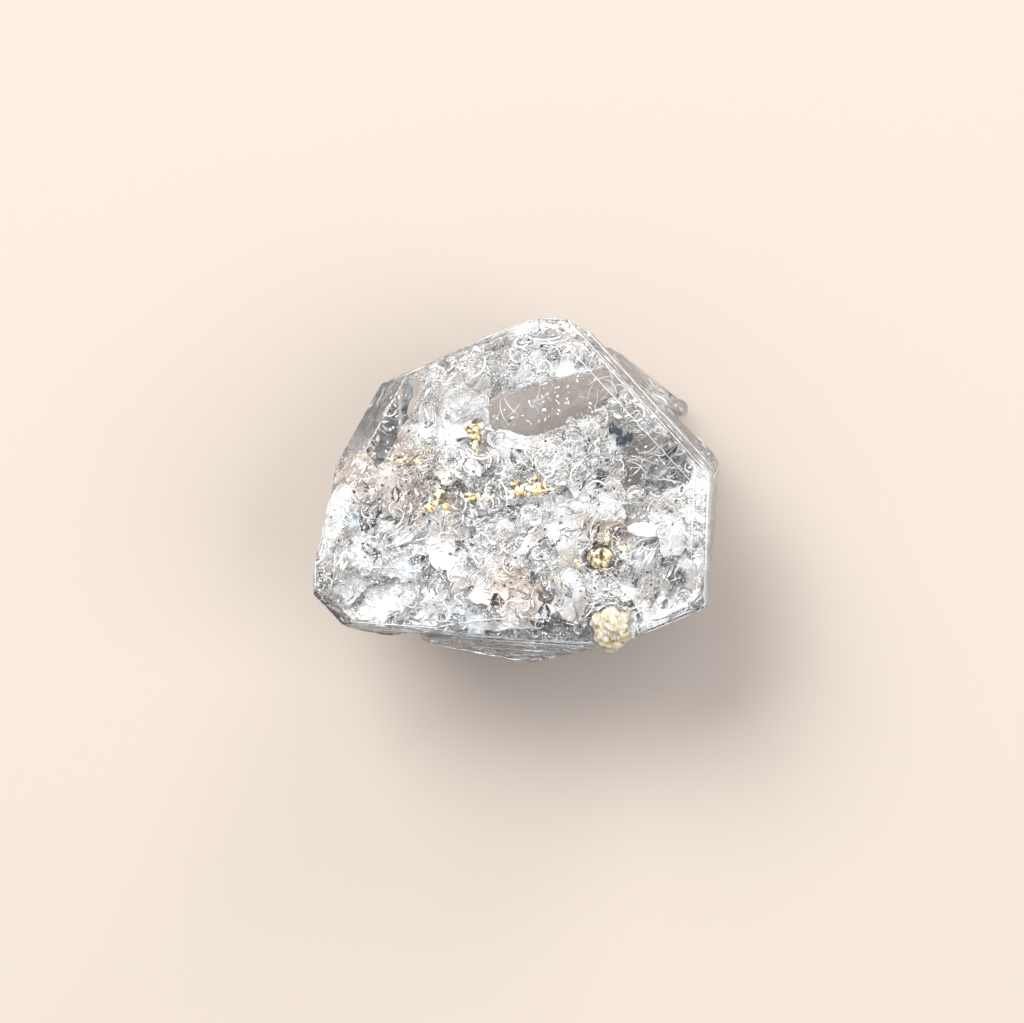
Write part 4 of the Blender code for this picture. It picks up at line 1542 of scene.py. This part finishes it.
DARK_NESTS = (
    Nest((6.2, -5.8), 0.25, (1.2, 0.6, 0.06), 26),
    Nest((5.2, -3.6), 0.25, (1.2, 1.2, 0.06), 10),
    Nest((9.6, -4.0), 0.25, (0.9, 2.0, 0.06), 22),
    Nest((4.6, 1.2), 0.30, (1.5, 1.2, 0.08), 30),
    Nest((-5.5, 0.6), 0.30, (2.2, 1.3, 0.08), 44),
    Nest((-1.0, -2.5), 0.30, (4.5, 3.0, 0.08), 60),
    Nest((1.0, -6.6), 0.30, (3.5, 1.2, 0.08), 34),
    Nest((-8.8, -1.0), 0.30, (0.8, 2.0, 0.06), 16),
    Nest((1.0, 8.3), 0.30, (2.0, 0.8, 0.06), 16),
)
WINDOW_NESTS = (
    Nest((2.2, 5.0), 0.4, (0.7, 0.5, 0.15), 34),
    Nest((0.4, 4.0), 0.4, (0.8, 0.5, 0.15), 16),
    Nest((4.4, 5.3), 0.4, (1.0, 0.6, 0.15), 16),
    Nest((-7.0, 5.2), 0.6, (0.4, 0.9, 0.20), 18),
    Nest((9.0, 1.0), 0.5, (1.2, 0.9, 0.20), 60),
)
WHITE_DOT_NESTS = (
    Nest((-6.5, 0.3), 0.6, (1.8, 1.6, 0.25), 150),
    Nest((-8.6, -2.2), 0.6, (1.1, 2.0, 0.25), 110),
    Nest((-6.3, -4.4), 0.6, (1.8, 1.0, 0.25), 150),
    Nest((-3.5, -4.0), 0.6, (1.6, 2.2, 0.25), 120),
    Nest((-8.6, -7.2), 0.6, (1.3, 0.9, 0.25), 40),
    Nest((0.5, -5.5), 0.6, (2.8, 1.3, 0.25), 120),
    Nest((2.0, -8.0), 0.6, (2.8, 0.5, 0.20), 60),
)
WINDOW_THREAD_NESTS = (
    Nest((0.8, 4.6), 0.35, (0.9, 0.5, 0.12), 9),
    Nest((5.8, 5.3), 0.30, (0.9, 0.5, 0.10), 22),
    Nest((9.0, 0.9), 0.35, (1.1, 0.8, 0.12), 46),
    Nest((-7.4, 4.4), 0.50, (0.4, 1.3, 0.15), 3),
    Nest((8.0, -4.0), 0.30, (1.8, 2.0, 0.15), 60),
)
STRIPES_AND_PAINTED_GLINTS = (
    LineField((6.45, 3.0), 0.30, 82.0, 4, 0.18, 0.95, 0.42, (0.030, 0.040, 0.052)),
    LineField((6.95, 2.4), 0.30, 80.0, 5, 0.18, 1.20, 0.42, (0.026, 0.036, 0.048)),
    LineField((9.7, 1.75), 0.30, 38.0, 5, 0.20, 1.45, 0.46, (0.030, 0.042, 0.056)),
    LineField((9.75, 1.75), 0.2, 38.0, 4, 0.26, 1.30, 0.06, (0.30, 0.34, 0.38)),
    LineField((5.4, -0.2), 0.30, 15.0, 4, 0.17, 0.85, 0.24, (0.035, 0.042, 0.055)),
    LineField((9.9, -6.1), 0.20, 63.0, 5, 0.22, 2.30, 0.085, (0.05, 0.05, 0.055)),
    LineField((10.6, -3.9), 0.20, -58.0, 2, 0.25, 0.90, 0.085, (0.06, 0.06, 0.065)),
    LineField((7.2, -3.3), 0.25, 100.0, 6, 0.13, 0.70, 0.045, (0.16, 0.07, 0.05)),
    LineField((5.4, -5.7), 0.22, 20.0, 4, 0.16, 0.80, 0.070, (0.12, 0.07, 0.04), 200.0, 60.0),
    LineField((7.3, -5.5), 0.22, 12.0, 4, 0.17, 0.90, 0.075, (0.10, 0.06, 0.04), 160.0, 50.0),
    LineField((6.4, -5.2), 0.22, 40.0, 3, 0.20, 0.70, 0.060, (0.14, 0.08, 0.05), 220.0, 70.0),
    LineField((2.4, 8.7), 0.30, 0.0, 5, 0.24, 2.60, 0.065, (0.10, 0.10, 0.11), 70.0),
    LineField((2.4, 8.8), 0.26, 2.0, 5, 0.25, 2.90, 0.080, (0.97, 0.97, 0.97), 75.0),
    LineField((2.7, 7.9), 0.30, 8.0, 3, 0.22, 2.00, 0.055, (0.14, 0.14, 0.15), 40.0),
    LineField((5.3, -2.5), 0.30, 200.0, 2, 0.30, 3.60, 0.060, (0.55, 0.54, 0.52), 150.0),
    LineField((4.0, -4.0), 0.30, 255.0, 2, 0.35, 3.00, 0.060, (0.60, 0.59, 0.57), 95.0),
    # These six pale slanted patches are painted glints: bright streaks of light on the veils, drawn as white
    # slivers.
    LineField((8.2, -4.6), 0.45, 62.0, 5, 0.22, 1.50, 0.200, (0.85, 0.88, 0.92), 20.0, 16.0),
    LineField((11.1, -2.4), 0.40, 75.0, 4, 0.16, 0.90, 0.120, (0.85, 0.88, 0.92), 10.0, 18.0),
    LineField((-4.8, 4.4), 0.35, 108.0, 3, 0.24, 1.20, 0.160, (0.88, 0.89, 0.92), 25.0, 20.0),
    LineField((-9.2, 1.6), 0.75, 58.0, 7, 0.15, 0.90, 0.150, (0.88, 0.90, 0.93), 25.0, 18.0),
    LineField((-8.7, 0.4), 0.60, 62.0, 5, 0.20, 0.80, 0.130, (0.88, 0.90, 0.93), 25.0, 18.0),
    LineField((-10.2, -4.6), 0.30, 68.0, 4, 0.14, 0.90, 0.130, (0.92, 0.92, 0.93), 12.0, 14.0),
    LineField((-3.5, -9.1), 3.8, -6.0, 7, 0.12, 1.10, 0.110, (0.94, 0.94, 0.95), 12.0, 12.0),
    LineField((-1.5, -9.5), 4.9, 2.0, 9, 0.12, 1.30, 0.120, (0.94, 0.94, 0.95), 12.0, 12.0),
    LineField((0.4, -9.8), 5.6, 10.0, 9, 0.12, 1.30, 0.120, (0.94, 0.94, 0.95), 12.0, 12.0),
    LineField((2.2, -9.6), 5.2, 14.0, 7, 0.12, 1.10, 0.110, (0.94, 0.94, 0.95), 12.0, 12.0),
    LineField((-0.5, -9.4), 5.0, 15.0, 5, 0.18, 0.90, 0.090, (0.05, 0.045, 0.04), 12.0, 15.0),
    LineField((-6.9, -3.0), 0.35, 32.0, 2, 0.50, 2.40, 0.110, (0.85, 0.87, 0.90), 40.0, 12.0),
    LineField((-9.5, -0.8), 0.22, 110.0, 1, 0.20, 1.60, 0.060, (0.10, 0.07, 0.06), 30.0),
    LineField((-8.3, -1.2), 0.22, 42.0, 2, 0.35, 1.50, 0.060, (0.12, 0.08, 0.06), 20.0),
    # These two blue patches are painted glints: flashes of blue light, drawn as blue slivers.
    LineField((-9.5, -2.1), 0.30, 60.0, 3, 0.10, 0.60, 0.090, (0.30, 0.62, 0.95)),
    LineField((-6.0, -5.0), 0.30, 60.0, 3, 0.10, 0.45, 0.080, (0.40, 0.66, 0.95)),
    LineField((2.4, -8.8), 0.25, -8.0, 2, 0.16, 2.40, 0.070, (0.07, 0.06, 0.06), 8.0),
    LineField((-0.2, -8.9), 0.25, -4.0, 4, 0.20, 1.10, 0.070, (0.88, 0.87, 0.84), 30.0, 22.0),
)


def add_flecks(form: CrystalForm, white: bpy.types.Material, grey: bpy.types.Material) -> None:
    """Adds the curved flakes and threads: under the faces, on the healed fractures and in the windows."""
    silver = FleckFinish("silver_flecks", 0.10, 1.0).material()
    hollow = HollowFinish().material()
    wisp = FlakeShape((0.25, 0.90), (0.25, 0.60), 0.25, (20.0, 120.0), 5)
    thread = FlakeShape((0.80, 2.40), (0.050, 0.090), 0.60, (80.0, 320.0), 7)
    curl = FlakeShape((0.90, 2.30), (0.13, 0.26), 0.50, (120.0, 310.0), 7)
    fissure = FlakeShape((1.00, 3.20), (0.35, 0.80), 0.05, (0.0, 40.0), 7)
    sliver = FlakeShape((0.20, 1.00), (0.05, 0.12), 0.50, (0.0, 150.0))
    plate = FlakeShape((0.10, 0.36), (0.25, 0.70), 0.12, (0.0, 40.0))
    broad = FlakeShape((0.40, 1.40), (0.20, 0.50), 0.25, (0.0, 60.0))
    faces = Spread.UNDER_FACES
    on_veils = Spread.ON_VEILS
    veils = healed_fractures(22, form, 7)
    for flecks, finish in (
        (Flecks("white_wisps", 450, wisp, WHITES, faces, 101, window_share=0.0), white),
        (Flecks("white_threads", 1000, thread, WHITES, faces, 112, deepest=1.0, gathered=0.85), white),
        # Grey threads: partly grey matter, partly painted shade for the dark lines along the veils.
        (Flecks("grey_threads", 700, thread, GREYS, faces, 113, deepest=0.9, gathered=0.80), grey),
        (Flecks("hollow_curls", 850, curl, WHITES, faces, 102, deepest=0.9, gathered=0.70), hollow),
        (Flecks("fissures", 70, fissure, WHITES, faces, 117, 1.4, tilt=0.3, window_share=0.0), hollow),
        (Flecks("silver_plates", 450, plate, SILVERS, faces, 103, tilt=0.45, window_share=0.0), silver),
        # Grey slivers, here and on the veils below: painted shade for the dark lines along the veils.
        (Flecks("grey_slivers", 450, sliver, GREYS, faces, 104, deepest=1.0, gathered=0.4), grey),
        (Flecks("white_veils", 1500, broad, WHITES, on_veils, 105, window_share=0.0), white),
        (Flecks("grey_veils", 400, sliver, GREYS, on_veils, 106), grey),
    ):
        flecks.build(form, veils, finish)
    hair = FlakeShape((0.60, 2.20), (0.014, 0.028), 0.8, (20.0, 110.0), 7)
    dash = FlakeShape((0.08, 0.34), (0.25, 0.60), 0.6)
    NestedFlakes("window_hairs", WINDOW_THREAD_NESTS, hair, WHITES[:1], 114).build(form, white)
    NestedFlakes("window_dashes", WINDOW_NESTS, dash, WHITES[:1], 110).build(form, white)


def add_inclusions(form: CrystalForm) -> None:
    """Adds everything that lies in the crystal."""
    # The white and gold finishes darken flake rims: painted shade for the dark outlines that refraction
    # draws.
    white = FleckFinish("white_flecks", 0.30, rim_painted_shade=0.22).material()
    grey = FleckFinish("grey_flecks", 0.45).material()
    matt = FleckFinish("matt_veils", 1.0, sheen=0.0).material()
    gold = FleckFinish("stained_crumbs", 0.50, rim_painted_shade=0.45).material()
    add_flecks(form, white, grey)
    milk = (0.73, 0.76, 0.79)
    murk = (0.55, 0.55, 0.56)
    for piece, finish in (
        (Crumbs("white_dots", WHITE_DOT_NESTS, Crumb((0.10, 0.30), 0.15), WHITES[:3], 115), white),
        (VeilSheets("veil_sheets", 76, 127), matt),
        (VeilSheets("milky_sheets", len(MILKY_SPOTS), 131, (1.3, 2.4), (0.5, 1.3), pale=milk, deep=murk,
                    spots=MILKY_SPOTS), matt),
        # Pale needles along the edges that face the camera: painted highlights.
        (PaintedEdgeHighlights("painted_edge_highlights", 121), matt),
        (Dust("cloud_dust", 30000, (0.05, 0.10), 107, (0.4, 1.8), 1.0), matt),
        (Dust("deep_dust", 49000, (0.11, 0.19), 118, (1.8, 4.2), 1.0), matt),
        (Dust("milk_dust", 20000, (0.07, 0.13), 116, (0.3, 3.0), 0.0, (0.50, 0.47, 0.45)), matt),
        (Crumbs("gold_crumbs", GOLD_NESTS, Crumb((0.22, 0.58), 0.5), GOLDS, 108, 0.0), gold),
        (Crumbs("cream_crumbs", CREAM_NESTS, Crumb((0.15, 0.45)), CREAMS, 119), white),
        (Crumbs("dark_specks", DARK_NESTS, Crumb((0.14, 0.34)), DARKS, 109, 0.0), matt),
        # Dark stripes, with pale and blue slivers that are painted glints.
        (LineFields("stripes_and_painted_glints", STRIPES_AND_PAINTED_GLINTS, 111), matt),
    ):
        piece.build(form, finish)


def add_rock(knob: bpy.types.Object, grain: bpy.types.Object) -> None:
    """Puts the crumbly lumps in the place of the two small solids."""
    dolomite = CrumblyRock("cream_dolomite", (0.37, 0.35, 0.30), (0.30, 0.25, 0.15), (0.14, 0.12, 0.08), 1.6,
                           0.05)
    clay = CrumblyRock("brown_clay", (0.80, 0.66, 0.42), (0.055, 0.036, 0.018), (0.44, 0.31, 0.15), 2.6, 0.06,
                       (5.45, -4.62))
    RockLump(knob, "dolomite_crumbs", "dolomite", 0.08, 0.06, 0.75, 31).build(dolomite.material())
    RockLump(grain, "clay_crumbs", "iron_stained_clay", 0.04, 0.07, 0.50, 32).build(clay.material())


def main() -> None:
    """Builds the scene piece by piece."""
    logging.basicConfig(level=logging.INFO)
    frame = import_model()
    view = PhotoView()
    view.add_camera()
    Studio().build()
    nodes = frame["nodes"]
    form = CrystalForm(nodes[CRYSTAL], view)
    FineCrystal(form).build(ClearQuartz().material())
    add_inclusions(form)
    add_rock(nodes[KNOB], nodes[GRAIN])


if __name__ == "__main__":
    main()
